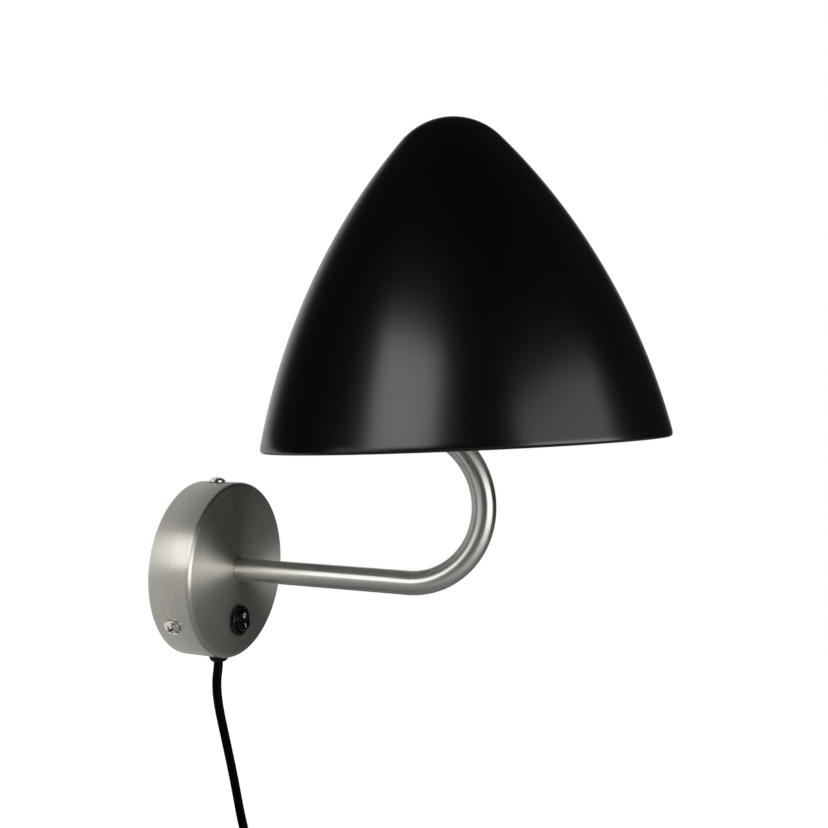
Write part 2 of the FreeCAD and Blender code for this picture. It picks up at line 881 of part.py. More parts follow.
def make_swivel_lower():
    pivot = pivot_place()
    neck = pivot.z - swivel_radius - swivel_neck_gap - swivel_bottom()
    half = swivel_half(-1, neck, swivel_spigot_length)
    half.translate(pivot)
    return half.removeSplitter()


def on_shade(shape):
    """Carry a shape drawn about the shade's axis, z = 0 in the rim's plane, to its place."""
    turn = Rotation(right, -shade_tilt)
    foot = pivot_place() - turn.multVec(up * shade_below_pivot)
    shape.Placement = Placement(foot, turn).multiply(shape.Placement)
    return shape


def swivel_top():
    return shade_below_pivot + swivel_radius + swivel_neck_gap + swivel_neck_length


def make_swivel_upper():
    half = swivel_half(-1, swivel_neck_length, 0)
    half.rotate(origin, out, 180)
    half.translate(up * shade_below_pivot)
    bore_end = up * (swivel_top() - holder_nipple_depth())
    half = half.cut(rod(bore_end, up * (swivel_top() + cut_over),
                        arm_nipple_radius + thread_clearance))
    return on_shade(half.removeSplitter())


def holder_nipple_depth():
    """Depth of the threaded bore that takes the lampholder's nipple."""
    return swivel_neck_length - swivel_socket_floor


def make_swivel_screw():
    pivot = pivot_place()
    head_at = pivot - right * (swivel_radius + seat_gap)
    head = rod(head_at, head_at - right * pivot_screw_head_height, pivot_screw_head_radius)
    slot = box(Vector(-pivot_screw_head_height, -pivot_screw_head_radius - cut_over,
                      -pivot_screw_slot_width / 2),
               Vector(-pivot_screw_head_height / 2, pivot_screw_head_radius + cut_over,
                      pivot_screw_slot_width / 2))
    slot.translate(head_at)
    end = pivot + right * (swivel_radius + pivot_nut_thickness + pivot_screw_end)
    return head.cut(slot).fuse(rod(head_at, end, pivot_screw_radius))


def make_swivel_nut():
    place = pivot_place() + right * (swivel_radius + seat_gap)
    return hex_nut(pivot_nut_flats, pivot_nut_thickness, pivot_screw_radius + thread_clearance,
                   place, right)


def make_friction_washer():
    half = swivel_split / 2 - seat_gap
    pivot = pivot_place()
    return ring(pivot - right * half, pivot + right * half, friction_washer_radius,
                pivot_screw_radius + thread_clearance)


def holder_foot():
    """Level of the lampholder's underside above the rim."""
    return swivel_top() + holder_nut_thickness + 2 * seat_gap


def holder_split():
    """Level where the lampholder's cap meets its body."""
    return holder_foot() + holder_base_height


def make_holder_nipple():
    start = swivel_top() - holder_nipple_depth() + seat_gap
    return on_shade(ring(up * start, up * (start + holder_nipple_length), arm_nipple_radius,
                         arm_nipple_bore))


def make_holder_nuts():
    bore = arm_nipple_radius + thread_clearance
    lower = hex_nut(holder_nut_flats, holder_nut_thickness, bore,
                    up * (swivel_top() + seat_gap), up)
    inner = hex_nut(holder_nut_flats, holder_nut_thickness, bore,
                    up * (holder_foot() + holder_base_wall + seat_gap), up)
    return Part.makeCompound([on_shade(lower), on_shade(inner)])


def make_holder_base():
    foot = holder_foot()
    split = holder_split() - seat_gap
    wall = holder_base_wall
    hole = arm_nipple_radius + fit_gap
    shoulder = foot + holder_base_height * holder_base_shoulder_share
    return on_shade(turned((hole, foot), [
        (holder_base_foot_radius, foot),
        (((holder_base_foot_radius + holder_base_radius) / 2 + wall / 2,
          foot + holder_base_height * holder_base_foot_share), (holder_base_radius, shoulder)),
        (holder_base_radius, split),
        (holder_base_radius - wall, split),
        (holder_base_radius - wall, shoulder),
        (holder_base_foot_radius, foot + wall),
        (hole, foot + wall),
        (hole, foot)]))


def make_holder_body():
    start = holder_split()
    end = start + holder_height
    hole = holder_insert_radius + fit_gap
    thread_end = end - ring_below_mouth - 2 * ring_height - spider_thickness - 2 * seat_gap
    neck = holder_base_radius
    lip = end - (holder_radius - holder_mouth_radius) / 4
    return on_shade(turned((hole, start), [
        (neck, start),
        (neck, thread_end - (holder_radius - neck)),
        (holder_radius, thread_end),
        (holder_radius, lip),
        (holder_radius - (end - lip), end),
        (holder_mouth_radius, end),
        (holder_mouth_radius, start + holder_floor),
        (hole, start + holder_floor),
        (hole, start)]))


def make_holder_insert():
    start = holder_split() + seat_gap
    disc = rod(up * start, up * (start + holder_insert_height), holder_insert_radius)
    for side in (-1, 1):
        across = right * (side * lead_spacing)
        disc = disc.cut(rod(across + up * (start - cut_over),
                            across + up * (start + holder_insert_height / 2),
                            lead_radius + fit_gap))
    return on_shade(disc)


def shell_start():
    return holder_split() + seat_gap + holder_insert_height + seat_gap


def make_holder_shell():
    start = shell_start()
    bore = holder_shell_outer - holder_shell_wall
    shell = ring(up * start, up * (start + holder_shell_length), holder_shell_outer, bore)
    floor = rod(up * start, up * (start + holder_shell_wall), holder_shell_outer)
    return on_shade(shell.fuse(floor).removeSplitter())


def make_holder_leads():
    leads = []
    start = swivel_top() - holder_nipple_depth() + 2 * seat_gap
    end = holder_split() + holder_insert_height / 2 - seat_gap
    nipple_end = start + holder_nipple_length
    for side in (-1, 1):
        narrow = right * (side * lead_spacing / 2)
        wide = right * (side * lead_spacing)
        level = (nipple_end + holder_split()) / 2
        points = [up * start + narrow, up * (level - lead_spacing) + narrow,
                  up * (level + lead_spacing) + wide, up * end + wide]
        leads.append(on_shade(lead_along(points)))
    return Part.makeCompound(leads)


def shade_arcs():
    """Centre (radius, height) of the long side arc, and of the crown on the axis."""
    crown_z = shade_height - shade_crown_radius
    long = shade_side_radius
    short = shade_side_radius - shade_crown_radius
    span = math.hypot(shade_rim_radius, crown_z)
    along = (long ** 2 - short ** 2 + span ** 2) / (2 * span)
    across = math.sqrt(long ** 2 - along ** 2)
    unit_r = -shade_rim_radius / span
    unit_z = crown_z / span
    side_r = shade_rim_radius + unit_r * along - unit_z * across
    side_z = unit_z * along + unit_r * across
    return (side_r, side_z), (0, crown_z)


def shade_radius(level, inset):
    """Radius of the side arc at a level, inset into the wall."""
    side, crown = shade_arcs()
    reach = shade_side_radius - inset
    return side[0] + math.sqrt(reach ** 2 - (level - side[1]) ** 2)


def on_arc(centre, radius, angle):
    return centre[0] + radius * math.cos(angle), centre[1] + radius * math.sin(angle)


def make_shade_shell():
    side, crown = shade_arcs()
    bead = shade_bead_radius
    reach = shade_side_radius - bead
    bead_at = (side[0] + math.sqrt(reach ** 2 - (bead - side[1]) ** 2), bead)
    leave = math.atan2(bead_at[1] - side[1], bead_at[0] - side[0])
    meet = math.atan2(crown[1] - side[1], crown[0] - side[0])
    inner_side = shade_side_radius - shade_wall
    inner_crown = shade_crown_radius - shade_wall
    span = math.hypot(bead_at[0] - side[0], bead_at[1] - side[1])
    along = (inner_side ** 2 - bead ** 2 + span ** 2) / (2 * span)
    inner_leave = leave + math.acos(along / inner_side)
    inner_foot = on_arc(side, inner_side, inner_leave)
    top = math.pi / 2
    lowest = on_arc(bead_at, -bead, leave + math.radians(shade_bead_turn))
    crown_middle = (top + meet) / 2
    side_middle = (meet + leave) / 2
    shell = turned((0, shade_height), [
        (on_arc(crown, shade_crown_radius, crown_middle), on_arc(crown, shade_crown_radius, meet)),
        (on_arc(side, shade_side_radius, side_middle), on_arc(side, shade_side_radius, leave)),
        (lowest, inner_foot),
        (on_arc(side, inner_side, (inner_leave + meet) / 2), on_arc(side, inner_side, meet)),
        (on_arc(crown, inner_crown, crown_middle), (0, shade_height - shade_wall)),
        (0, shade_height)])
    return on_shade(shell)


def spider_level():
    return holder_split() + holder_height - ring_below_mouth - ring_height - spider_thickness


def make_shade_spider():
    low = spider_level()
    high = low + spider_thickness
    foot_top = low + spider_foot_height
    inset = shade_wall + fit_gap
    outer_low = shade_radius(low, inset)
    outer_top = shade_radius(foot_top, inset)
    hub = holder_radius + fit_gap
    dish = turned((hub, low), [
        (outer_low, low), (outer_top, foot_top),
        (outer_top - spider_thickness, foot_top),
        (outer_low - spider_thickness * spider_slope_share, high),
        (hub, high), (hub, low)])
    keep = rod(up * (low - cut_over), up * (foot_top + cut_over), spider_ring_radius)
    for arm in range(spider_arm_count):
        bar = box(Vector(0, -spider_arm_width / 2, low - cut_over),
                  Vector(shade_rim_radius, spider_arm_width / 2, foot_top + cut_over))
        bar.rotate(origin, up, 90 + 360 / spider_arm_count * arm)
        keep = keep.fuse(bar)
    return on_shade(dish.common(keep).removeSplitter())


def make_shade_rings():
    bore = holder_radius + thread_clearance
    low = spider_level()
    rings = []
    for start in (low - seat_gap - ring_height, low + spider_thickness + seat_gap):
        rings.append(on_shade(ring(up * start, up * (start + ring_height), ring_radius, bore)))
    return Part.makeCompound(rings)


def bulb_foot():
    return shell_start() + holder_shell_wall + fit_gap


def make_bulb_cap():
    start = bulb_foot()
    shoulder = start + bulb_tip_height
    end = start + bulb_cap_length
    inner = bulb_cap_radius - bulb_cap_wall
    return on_shade(turned((0, start), [
        (bulb_tip_radius, start), (bulb_cap_radius - fit_gap, shoulder), (bulb_cap_radius, end),
        (inner, end), (inner - fit_gap, shoulder + bulb_cap_wall),
        (bulb_tip_radius - bulb_cap_wall, start + bulb_cap_wall),
        (0, start + bulb_cap_wall), (0, start)]))


def make_bulb_globe():
    start = bulb_foot() + bulb_cap_length + seat_gap
    centre = bulb_foot() + bulb_length - bulb_globe_radius
    globe = (0, centre)
    inner = bulb_globe_radius - bulb_glass
    join = math.radians(bulb_neck_angle)
    middle = (join + math.pi / 2) / 2
    tangent = on_arc(globe, bulb_globe_radius, join)
    waist = (bulb_neck_radius + (tangent[0] - bulb_neck_radius) * bulb_waist_shares[0],
             start + (tangent[1] - start) * bulb_waist_shares[1])
    return on_shade(turned((bulb_neck_radius, start), [
        (waist, tangent),
        (on_arc(globe, bulb_globe_radius, middle), (0, centre + bulb_globe_radius)),
        (0, centre + inner),
        (on_arc(globe, inner, middle), on_arc(globe, inner, join)),
        ((waist[0] - bulb_glass, waist[1]), (bulb_neck_radius - bulb_glass, start)),
        (bulb_neck_radius, start)]))


def coil_point(turns):
    """Centre line of the coiled cord after a number of turns."""
    period = 2 * layer_turn_count
    phase = turns % period
    inward = min(phase, period - phase)
    radius = coil_outer_radius - coil_pitch * inward
    layer = 0
    for reverse in range(1, coil_layers):
        begun = turns - reverse * layer_turn_count + coil_climb_turns / 2
        layer = layer + min(max(begun / coil_climb_turns, 0), 1)
    angle = -2 * math.pi * turns
    return Vector(coil_centre_x + radius * math.cos(angle), coil_front_y + layer * coil_pitch,
                  coil_centre_z + radius * math.sin(angle))


def coil_heading(turns):
    """Smooth heading of the coil, square to the radius at its ends."""
    step = 1 / (2 * coil_step_count)
    before = coil_point(max(turns - step, 0))
    after = coil_point(min(turns + step, cord_turn_count))
    if turns <= 0 or turns >= cord_turn_count:
        return up * -1
    heading = after - before
    return heading.normalize()


def biarc(start, start_heading, end, end_heading):
    """Two tangent arcs from start to end."""
    chord = end - start
    both = start_heading + end_heading
    lead = chord.dot(both)
    bend = 2 * (1 - start_heading.dot(end_heading))
    reach = (math.sqrt(lead ** 2 + bend * chord.dot(chord)) - lead) / bend
    near = start + start_heading * reach
    far = end - end_heading * reach
    joint = (near + far) * 0.5
    joint_heading = far - near
    joint_heading.normalize()
    return [arc_between(start, joint, start_heading), arc_between(joint, end, joint_heading)]


def least_coil_gap():
    """Smallest distance between the surfaces of neighbouring turns."""
    steps = 36
    points = [coil_point(index / steps) for index in range(cord_turn_count * steps + 1)]
    least = coil_outer_radius
    for index, point in enumerate(points):
        for other in points[index + steps // 2:]:
            least = min(least, point.distanceToPoint(other))
    return least - cord_diameter


def make_cord_coil():
    start = coil_point(0)
    end = coil_point(cord_turn_count)
    edges = [Part.LineSegment(start + up * cord_diameter, start).toShape()]
    count = cord_turn_count * coil_step_count
    for index in range(count):
        first = index / coil_step_count
        last = (index + 1) / coil_step_count
        edges = edges + biarc(coil_point(first), coil_heading(first), coil_point(last),
                              coil_heading(last))
    edges.append(Part.LineSegment(end, end - up * cord_diameter).toShape())
    path = Part.Wire(edges)
    coil = swept(path, cord_radius)
    ideal = math.pi * cord_radius ** 2 * path.Length
    print("coil: length", round(path.Length, 1), "volume share", round(coil.Volume / ideal, 4),
          "least gap", round(least_coil_gap(), 2))
    return coil


def cord_along(points, label):
    path, radii = rounded_route(points)
    solid = swept(path, cord_radius)
    ideal = math.pi * cord_radius ** 2 * path.Length
    print(label, "length", round(path.Length, 1), "volume share",
          round(solid.Volume / ideal, 4), "radii", [round(radius, 1) for radius in radii])
    return solid


def make_mains_cord():
    return cord_along(cord_route, "cord:")


def make_cord_tail():
    return cord_along(tail_route, "tail:")


def make_coil_tie():
    inner_radius = coil_outer_radius - coil_pitch * layer_turn_count - cord_radius - tie_gap
    outer_radius = coil_outer_radius + cord_radius + tie_gap
    back = coil_back_y + cord_radius + tie_gap
    front = coil_front_y - cord_radius - tie_gap
    low = Vector(coil_centre_x - outer_radius, front, coil_centre_z - tie_width / 2)
    high = Vector(coil_centre_x - inner_radius, back, coil_centre_z + tie_width / 2)
    shift = Vector(tie_thickness, tie_thickness, 0)
    band = box(low - shift, high + shift)
    upright = [edge for edge in band.Edges if edge.BoundBox.ZLength > tie_width / 2]
    band = band.makeFillet(cord_radius + tie_gap + tie_thickness, upright)
    hollow = box(low - up * cut_over, high + up * cut_over)
    upright = [edge for edge in hollow.Edges if edge.BoundBox.ZLength > tie_width / 2]
    hollow = hollow.makeFillet(cord_radius + tie_gap, upright)
    band = band.cut(hollow)
    middle = (low.x + high.x) / 2
    head = box(Vector(middle - tie_head_length / 2, low.y - tie_head_height, low.z),
               Vector(middle + tie_head_length / 2, low.y - tie_thickness / 2, high.z))
    edges = [edge for edge in head.Edges if edge.BoundBox.ZLength > tie_width / 2
             and edge.BoundBox.YMax < low.y - tie_head_height / 2]
    return band.fuse(head.makeFillet(tie_thickness, edges)).removeSplitter()


def six_sided(width, flat, thickness, level):
    """Outline of the plug across its pins, from the front, with pointed sides."""
    corners = [(-width / 2, 0), (-flat / 2, -thickness / 2), (flat / 2, -thickness / 2),
               (width / 2, 0), (flat / 2, thickness / 2), (-flat / 2, thickness / 2)]
    points = [Vector(x, y, level) for x, y in corners]
    return Part.makePolygon(points + points[:1])


def plug_place():
    return tail_route[-1] + up * plug_socket_depth


def plug_face():
    return plug_relief_length + plug_taper_length + plug_face_length


def make_plug_body():
    taper_top = -plug_relief_length
    face_top = taper_top - plug_taper_length
    bottom = -plug_face()
    neck_flat = plug_neck_width * plug_neck_flat_share
    body = Part.makeLoft([six_sided(plug_neck_width, neck_flat, plug_neck_thickness, taper_top),
                          six_sided(plug_width, plug_flat_width, plug_thickness, face_top),
                          six_sided(plug_width, plug_flat_width, plug_thickness, bottom)],
                         True, True)
    relief = turned((0, -plug_relief_length), [
        (plug_relief_radius, -plug_relief_length),
        (plug_relief_tip_radius + seat_gap, 0), (0, 0), (0, -plug_relief_length)])
    body = body.fuse(relief)
    body = body.cut(rod(up * -plug_socket_depth, up * cut_over, cord_radius + relief_bore_gap))
    for side in (-1, 1):
        place = right * (side * pin_spacing / 2)
        body = body.cut(rod(place + up * (bottom - cut_over), place + up * (bottom + pin_root),
                            pin_root_radius + thread_clearance))
    body.translate(plug_place())
    return body


def make_plug_pins():
    pins = []
    root = pin_root - seat_gap
    tip = pin_radius - pin_tip_round
    tip_start = pin_length - pin_tip_round
    middle = corner_on_circle(pin_tip_round, 45)
    for side in (-1, 1):
        pin = turned((0, -root), [
            (pin_root_radius, -root), (pin_root_radius, seat_gap),
            (pin_shank_radius, seat_gap), (pin_shank_radius, pin_shank_length),
            (pin_radius, pin_shank_length), (pin_radius, tip_start),
            ((tip + middle[0], tip_start + middle[1]), (tip, pin_length)),
            (0, pin_length), (0, -root)], origin, up * -1)
        pin.translate(plug_place() + right * (side * pin_spacing / 2) - up * plug_face())
        pins.append(pin)
    return Part.makeCompound(pins)


makers = {
    "wall_plate": make_wall_plate,
    "canopy_cover": make_canopy_cover,
    "canopy_screws": make_canopy_screws,
    "switch_body": make_switch_body,
    "switch_rocker": make_switch_rocker,
    "switch_tabs": make_switch_tabs,
    "strain_relief": make_strain_relief,
    "terminal_block": make_terminal_block,
    "terminal_sleeves": make_terminal_sleeves,
    "terminal_screws": make_terminal_screws,
    "block_screw": make_block_screw,
    "supply_leads": make_supply_leads,
    "switch_lead": make_switch_lead,
    "arm_leads": make_arm_leads,
    "arm_nipple": make_arm_nipple,
    "arm_washer": make_arm_washer,
    "arm_nut": make_arm_nut,
    "arm_tube": make_arm_tube,
    "arm_end_plug": make_arm_plug,
    "arm_boss": make_arm_boss,
    "swivel_lower": make_swivel_lower,
    "swivel_upper": make_swivel_upper,
    "swivel_screw": make_swivel_screw,
    "swivel_nut": make_swivel_nut,
    "friction_washer": make_friction_washer,
    "holder_nipple": make_holder_nipple,
    "holder_nuts": make_holder_nuts,
    "holder_base": make_holder_base,
    "holder_body": make_holder_body,
    "holder_insert": make_holder_insert,
    "holder_shell": make_holder_shell,
    "holder_leads": make_holder_leads,
    "shade_rings": make_shade_rings,
    "shade_spider": make_shade_spider,
    "shade_shell": make_shade_shell,
    "bulb_cap": make_bulb_cap,
    "bulb_globe": make_bulb_globe,
    "mains_cord": make_mains_cord,
    "cord_coil": make_cord_coil,
    "cord_tail": make_cord_tail,
    "coil_tie": make_coil_tie,
    "plug_body": make_plug_body,
    "plug_pins": make_plug_pins,
}

for node, maker in makers.items():
    shape = maker()
    shape.exportStep(os.path.join("parts", node + ".step"))
    print(node, len(shape.Solids), "solids, valid", shape.isValid(),
          "volume", round(shape.Volume, 1))
pivot = pivot_place()
print("pivot", round(pivot.y, 3), round(pivot.z, 3))
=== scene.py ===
import math

import bmesh
import bpy
from mathutils import Matrix, Vector


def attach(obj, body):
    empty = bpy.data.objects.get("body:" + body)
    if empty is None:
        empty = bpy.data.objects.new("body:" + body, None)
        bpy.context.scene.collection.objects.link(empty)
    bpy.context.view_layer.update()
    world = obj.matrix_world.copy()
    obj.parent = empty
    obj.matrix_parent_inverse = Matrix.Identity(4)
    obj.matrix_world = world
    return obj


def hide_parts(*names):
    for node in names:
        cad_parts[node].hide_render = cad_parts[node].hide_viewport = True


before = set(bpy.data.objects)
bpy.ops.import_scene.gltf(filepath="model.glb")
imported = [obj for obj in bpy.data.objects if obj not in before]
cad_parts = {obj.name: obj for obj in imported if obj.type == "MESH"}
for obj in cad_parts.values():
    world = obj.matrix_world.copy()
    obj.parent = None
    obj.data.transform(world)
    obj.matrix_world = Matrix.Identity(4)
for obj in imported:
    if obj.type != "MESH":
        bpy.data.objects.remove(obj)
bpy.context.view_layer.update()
scene = bpy.context.scene
print("frame loaded with", len(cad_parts), "nodes")

# Wall lamp: brushed canopy and bent arm, black bell shade, rocker switch, flat mains flex.
# Metres. The wall is the plane y = 0 and the lamp stands out towards -Y.
mm = 0.001
sideways = Vector((1, 0, 0))
up = Vector((0, 0, 1))
out = Vector((0, -1, 0))
tiny = 1e-7


def addObject(name, data):
    made = bpy.data.objects.new(name, data)
    scene.collection.objects.link(made)
    return made


# Camera, from the pinhole fit of the photograph
cameraLook = {
    "place": (-0.4673, -0.3134, 0.0984),
    "aim": (0.0864, -0.1000, 0.0892),
    "roll": 0.24,
    "lens": 40.77,
    "sensor": 36.0,
    "near": 0.01,
    "far": 50.0,
}


def addCamera():
    data = bpy.data.cameras.new("photoCamera")
    data.lens = cameraLook["lens"]
    data.sensor_width = cameraLook["sensor"]
    data.clip_start = cameraLook["near"]
    data.clip_end = cameraLook["far"]
    camera = addObject("photoCamera", data)
    place = Vector(cameraLook["place"])
    view = Vector(cameraLook["aim"]) - place
    turn = view.to_track_quat("-Z", "Y").to_matrix()
    roll = Matrix.Rotation(math.radians(cameraLook["roll"]), 3, "Z")
    camera.matrix_world = Matrix.Translation(place) @ (turn @ roll).to_4x4()
    scene.camera = camera


addCamera()


# Small tools for meshes
def moved(place):
    return Matrix.Translation(Vector(place))


def turned(angle, axis):
    return Matrix.Rotation(math.radians(angle), 4, axis)


def standing(place, axis):
    turn = up.rotation_difference(Vector(axis))
    return moved(place) @ turn.to_matrix().to_4x4()


def arc(centre, radius, start, end, steps):
    points = []
    for step in range(steps + 1):
        turn = math.radians(start + (end - start) * step / steps)
        points.append((centre[0] + radius * math.cos(turn), centre[1] + radius * math.sin(turn)))
    return points


def circle(radius, segments):
    return arc((0, 0), radius, 0, 360, segments)[:-1]


def bearing(start, end):
    return math.degrees(math.atan2(end[1] - start[1], end[0] - start[0]))


def newPiece(name, bm, materials, sharpAngle=35):
    mesh = bpy.data.meshes.new(name)
    bmesh.ops.recalc_face_normals(bm, faces=bm.faces)
    bm.to_mesh(mesh)
    bm.free()
    mesh.shade_smooth()
    mesh.set_sharp_from_angle(angle=math.radians(sharpAngle))
    for material in materials:
        mesh.materials.append(material)
    return addObject(name, mesh)


# Faces between rings of equal count, one row for each pair. A ring on the axis is one vertex
# repeated, and the faces that meet it are triangles.
def skin(bm, rings):
    rows = []
    for lower, upper in zip(rings, rings[1:]):
        row = []
        for step in range(len(lower)):
            follow = (step + 1) % len(lower)
            corners = (lower[step], lower[follow], upper[follow], upper[step])
            row.append(bm.faces.new(list(dict.fromkeys(corners))))
        rows.append(row)
    return rows


# Body of revolution about local Z. Profile points are (radius, height) round a closed loop,
# or from axis to axis. Runs from secondFrom on get the second material.
def lathe(name, profile, materials, matrix=Matrix.Identity(4), segments=96, secondFrom=None,
          sharpAngle=35):
    bm = bmesh.new()
    rings = []
    for radius, height in profile:
        if radius < tiny:
            rings.append([bm.verts.new((0, 0, height))] * segments)
        else:
            rings.append([bm.verts.new((x, y, height)) for x, y in circle(radius, segments)])
    if profile[0][0] > tiny:
        rings.append(rings[0])
    for run, row in enumerate(skin(bm, rings)):
        second = secondFrom is not None and run >= secondFrom
        for face in row:
            face.material_index = int(second)
    bm.transform(matrix)
    return newPiece(name, bm, materials, sharpAngle)


# Skin through closed sections of equal count, capped at both ends
def loft(name, sections, materials, matrix=Matrix.Identity(4), sharpAngle=35):
    bm = bmesh.new()
    rings = [[bm.verts.new(point) for point in section] for section in sections]
    skin(bm, rings)
    bm.faces.new(rings[0][::-1])
    bm.faces.new(rings[-1])
    bm.transform(matrix)
    return newPiece(name, bm, materials, sharpAngle)


def addBevel(piece, width, segments, limit):
    bevel = piece.modifiers.new("softEdges", "BEVEL")
    bevel.width = width
    bevel.segments = segments
    bevel.limit_method = "ANGLE"
    bevel.angle_limit = math.radians(limit)
    bevel.harden_normals = False


# The cut faces keep the cutter's material
def cutWith(piece, cutter, operation="DIFFERENCE"):
    boolean = piece.modifiers.new("cut", "BOOLEAN")
    boolean.operation = operation
    boolean.solver = "EXACT"
    boolean.material_mode = "TRANSFER"
    boolean.object = cutter


# Replaces a piece's mesh by what its modifiers make of it, and drops the cutters
def settle(piece, cutters, sharpAngle=30):
    depsgraph = bpy.context.evaluated_depsgraph_get()
    made = bpy.data.meshes.new_from_object(piece.evaluated_get(depsgraph))
    piece.modifiers.clear()
    old = piece.data
    made.name = old.name
    piece.data = made
    bpy.data.meshes.remove(old)
    made.shade_smooth()
    made.set_sharp_from_angle(angle=math.radians(sharpAngle))
    for cutter in cutters:
        bpy.data.objects.remove(cutter)


def mounted(piece, body, slot, *nodes):
    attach(piece, body)
    if nodes:
        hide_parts(*nodes)
    return piece


# Small tools for shader trees. A value is a plain one, or a socket that is linked in.
def grey(level):
    return (level, level, level, 1)


def feed(tree, socket, value):
    if isinstance(value, bpy.types.NodeSocket):
        tree.links.new(value, socket)
    else:
        socket.default_value = value


def put(tree, kind, values=None, **settings):
    made = tree.nodes.new(kind)
    for name, value in settings.items():
        setattr(made, name, value)
    for name, value in (values or {}).items():
        feed(tree, made.inputs[name], value)
    return made


def mathOf(tree, operation, *values):
    return put(tree, "ShaderNodeMath", dict(enumerate(values)), operation=operation).outputs[0]


def vectorMath(tree, operation, first, second):
    return put(tree, "ShaderNodeVectorMath", {0: first, 1: second}, operation=operation).outputs


def spanned(tree, value, low, high, newLow, newHigh):
    return put(tree, "ShaderNodeMapRange", {"Value": value, "From Min": low, "From Max": high,
                                            "To Min": newLow, "To Max": newHigh}).outputs[0]


def objectPlace(tree):
    return put(tree, "ShaderNodeTexCoord").outputs["Object"]


def noiseOf(tree, vector, scale, detail, rough=0.5):
    return put(tree, "ShaderNodeTexNoise", {"Vector": vector, "Scale": scale, "Detail": detail,
                                            "Roughness": rough}).outputs[0]


# Noise lies between 0.3 and 0.7 almost everywhere
def swung(tree, noise):
    return spanned(tree, noise, 0.3, 0.7, -1.0, 1.0)


# The colour sockets of Mix go by index, because their names repeat
def mixedColour(tree, factor, first, second, blend="MIX"):
    return put(tree, "ShaderNodeMix", {0: factor, 6: first, 7: second}, data_type="RGBA",
               blend_type=blend).outputs[2]


def newGroup(name, inputs, outputs):
    group = bpy.data.node_groups.new(name, "ShaderNodeTree")
    for label, kind, value in inputs:
        socket = group.interface.new_socket(label, in_out="INPUT", socket_type=kind)
        if value is not None:
            socket.default_value = value
    for label in outputs:
        group.interface.new_socket(label, in_out="OUTPUT", socket_type="NodeSocketFloat")
    enter = group.nodes.new("NodeGroupInput").outputs
    leave = group.nodes.new("NodeGroupOutput").inputs
    return group, enter, leave


def useGroup(tree, group, values):
    return put(tree, "ShaderNodeGroup", values, node_tree=group).outputs


# Fine scratches. Vector is stretched so that one unit across is one scratch.
def buildBrushedGrain():
    group, enter, leave = newGroup("brushedGrain", [
        ("Vector", "NodeSocketVector", None),
        ("Contrast", "NodeSocketFloat", 0.1)], ["Tone", "Spread", "Height"])
    fine = noiseOf(group, enter["Vector"], 1.0, 3.0, 0.6)
    broad = noiseOf(group, enter["Vector"], 0.17, 2.0)
    both = mathOf(group, "ADD", mathOf(group, "MULTIPLY", fine, 0.65),
                  mathOf(group, "MULTIPLY", broad, 0.35))
    part = mathOf(group, "MULTIPLY", swung(group, both), enter["Contrast"])
    group.links.new(mathOf(group, "ADD", part, 1.0), leave["Tone"])
    group.links.new(part, leave["Spread"])
    group.links.new(both, leave["Height"])
    return group


# Rubbed edges, from how far the rounded normal leaves the true one
def buildEdgeWear():
    group, enter, leave = newGroup("edgeWear", [
        ("Width", "NodeSocketFloat", 0.4 * mm),
        ("Strength", "NodeSocketFloat", 1.0)], ["Mask"])
    rounded = put(group, "ShaderNodeBevel", {"Radius": enter["Width"]}, samples=4).outputs[0]
    normal = put(group, "ShaderNodeNewGeometry").outputs["Normal"]
    match = vectorMath(group, "DOT_PRODUCT", rounded, normal)["Value"]
    edge = spanned(group, match, 0.995, 0.85, 0.0, 1.0)
    noise = noiseOf(group, objectPlace(group), 420.0, 3.0)
    broken = spanned(group, noise, 0.35, 0.6, 0.35, 1.0)
    rubbed = mathOf(group, "MULTIPLY", edge, broken)
    group.links.new(mathOf(group, "MULTIPLY", rubbed, enter["Strength"]), leave["Mask"])
    return group


# Thin dust on faces that look up
def buildSettledDust():
    group, enter, leave = newGroup("settledDust", [
        ("Scale", "NodeSocketFloat", 700.0),
        ("Amount", "NodeSocketFloat", 0.5)], ["Mask"])
    place = objectPlace(group)
    specks = noiseOf(group, place, enter["Scale"], 2.0, 0.7)
    spots = spanned(group, specks, 0.66, 0.8, 0.0, 1.0)
    clouds = noiseOf(group, place, 28.0, 3.0)
    patches = spanned(group, clouds, 0.4, 0.7, 0.2, 1.0)
    normal = put(group, "ShaderNodeNewGeometry").outputs["Normal"]
    level = put(group, "ShaderNodeSeparateXYZ", {0: normal}).outputs["Z"]
    upward = spanned(group, level, 0.0, 0.8, 0.1, 1.0)
    mask = mathOf(group, "MULTIPLY", mathOf(group, "MULTIPLY", spots, patches), upward)
    group.links.new(mathOf(group, "MULTIPLY", mask, enter["Amount"]), leave["Mask"])
    return group


# Grain of paint or moulded plastic, with slow changes of gloss
def buildMouldGrain():
    group, enter, leave = newGroup("mouldGrain", [
        ("Scale", "NodeSocketFloat", 2200.0),
        ("Clouds", "NodeSocketFloat", 35.0)], ["Tone", "Spread", "Height"])
    place = objectPlace(group)
    grain = noiseOf(group, place, enter["Scale"], 2.0)
    clouds = noiseOf(group, place, enter["Clouds"], 4.0, 0.6)
    group.links.new(swung(group, grain), leave["Tone"])
    group.links.new(swung(group, clouds), leave["Spread"])
    group.links.new(grain, leave["Height"])
    return group


brushedGrain = buildBrushedGrain()
edgeWear = buildEdgeWear()
settledDust = buildSettledDust()
mouldGrain = buildMouldGrain()


def emptyMaterial(name):
    material = bpy.data.materials.new(name)
    material.use_nodes = True
    tree = material.node_tree
    tree.nodes.clear()
    return material, tree, tree.nodes.new("ShaderNodeOutputMaterial").inputs["Surface"]


def newMaterial(name, values):
    material, tree, surface = emptyMaterial(name)
    shader = put(tree, "ShaderNodeBsdfPrincipled", values)
    tree.links.new(shader.outputs[0], surface)
    return material, tree, shader


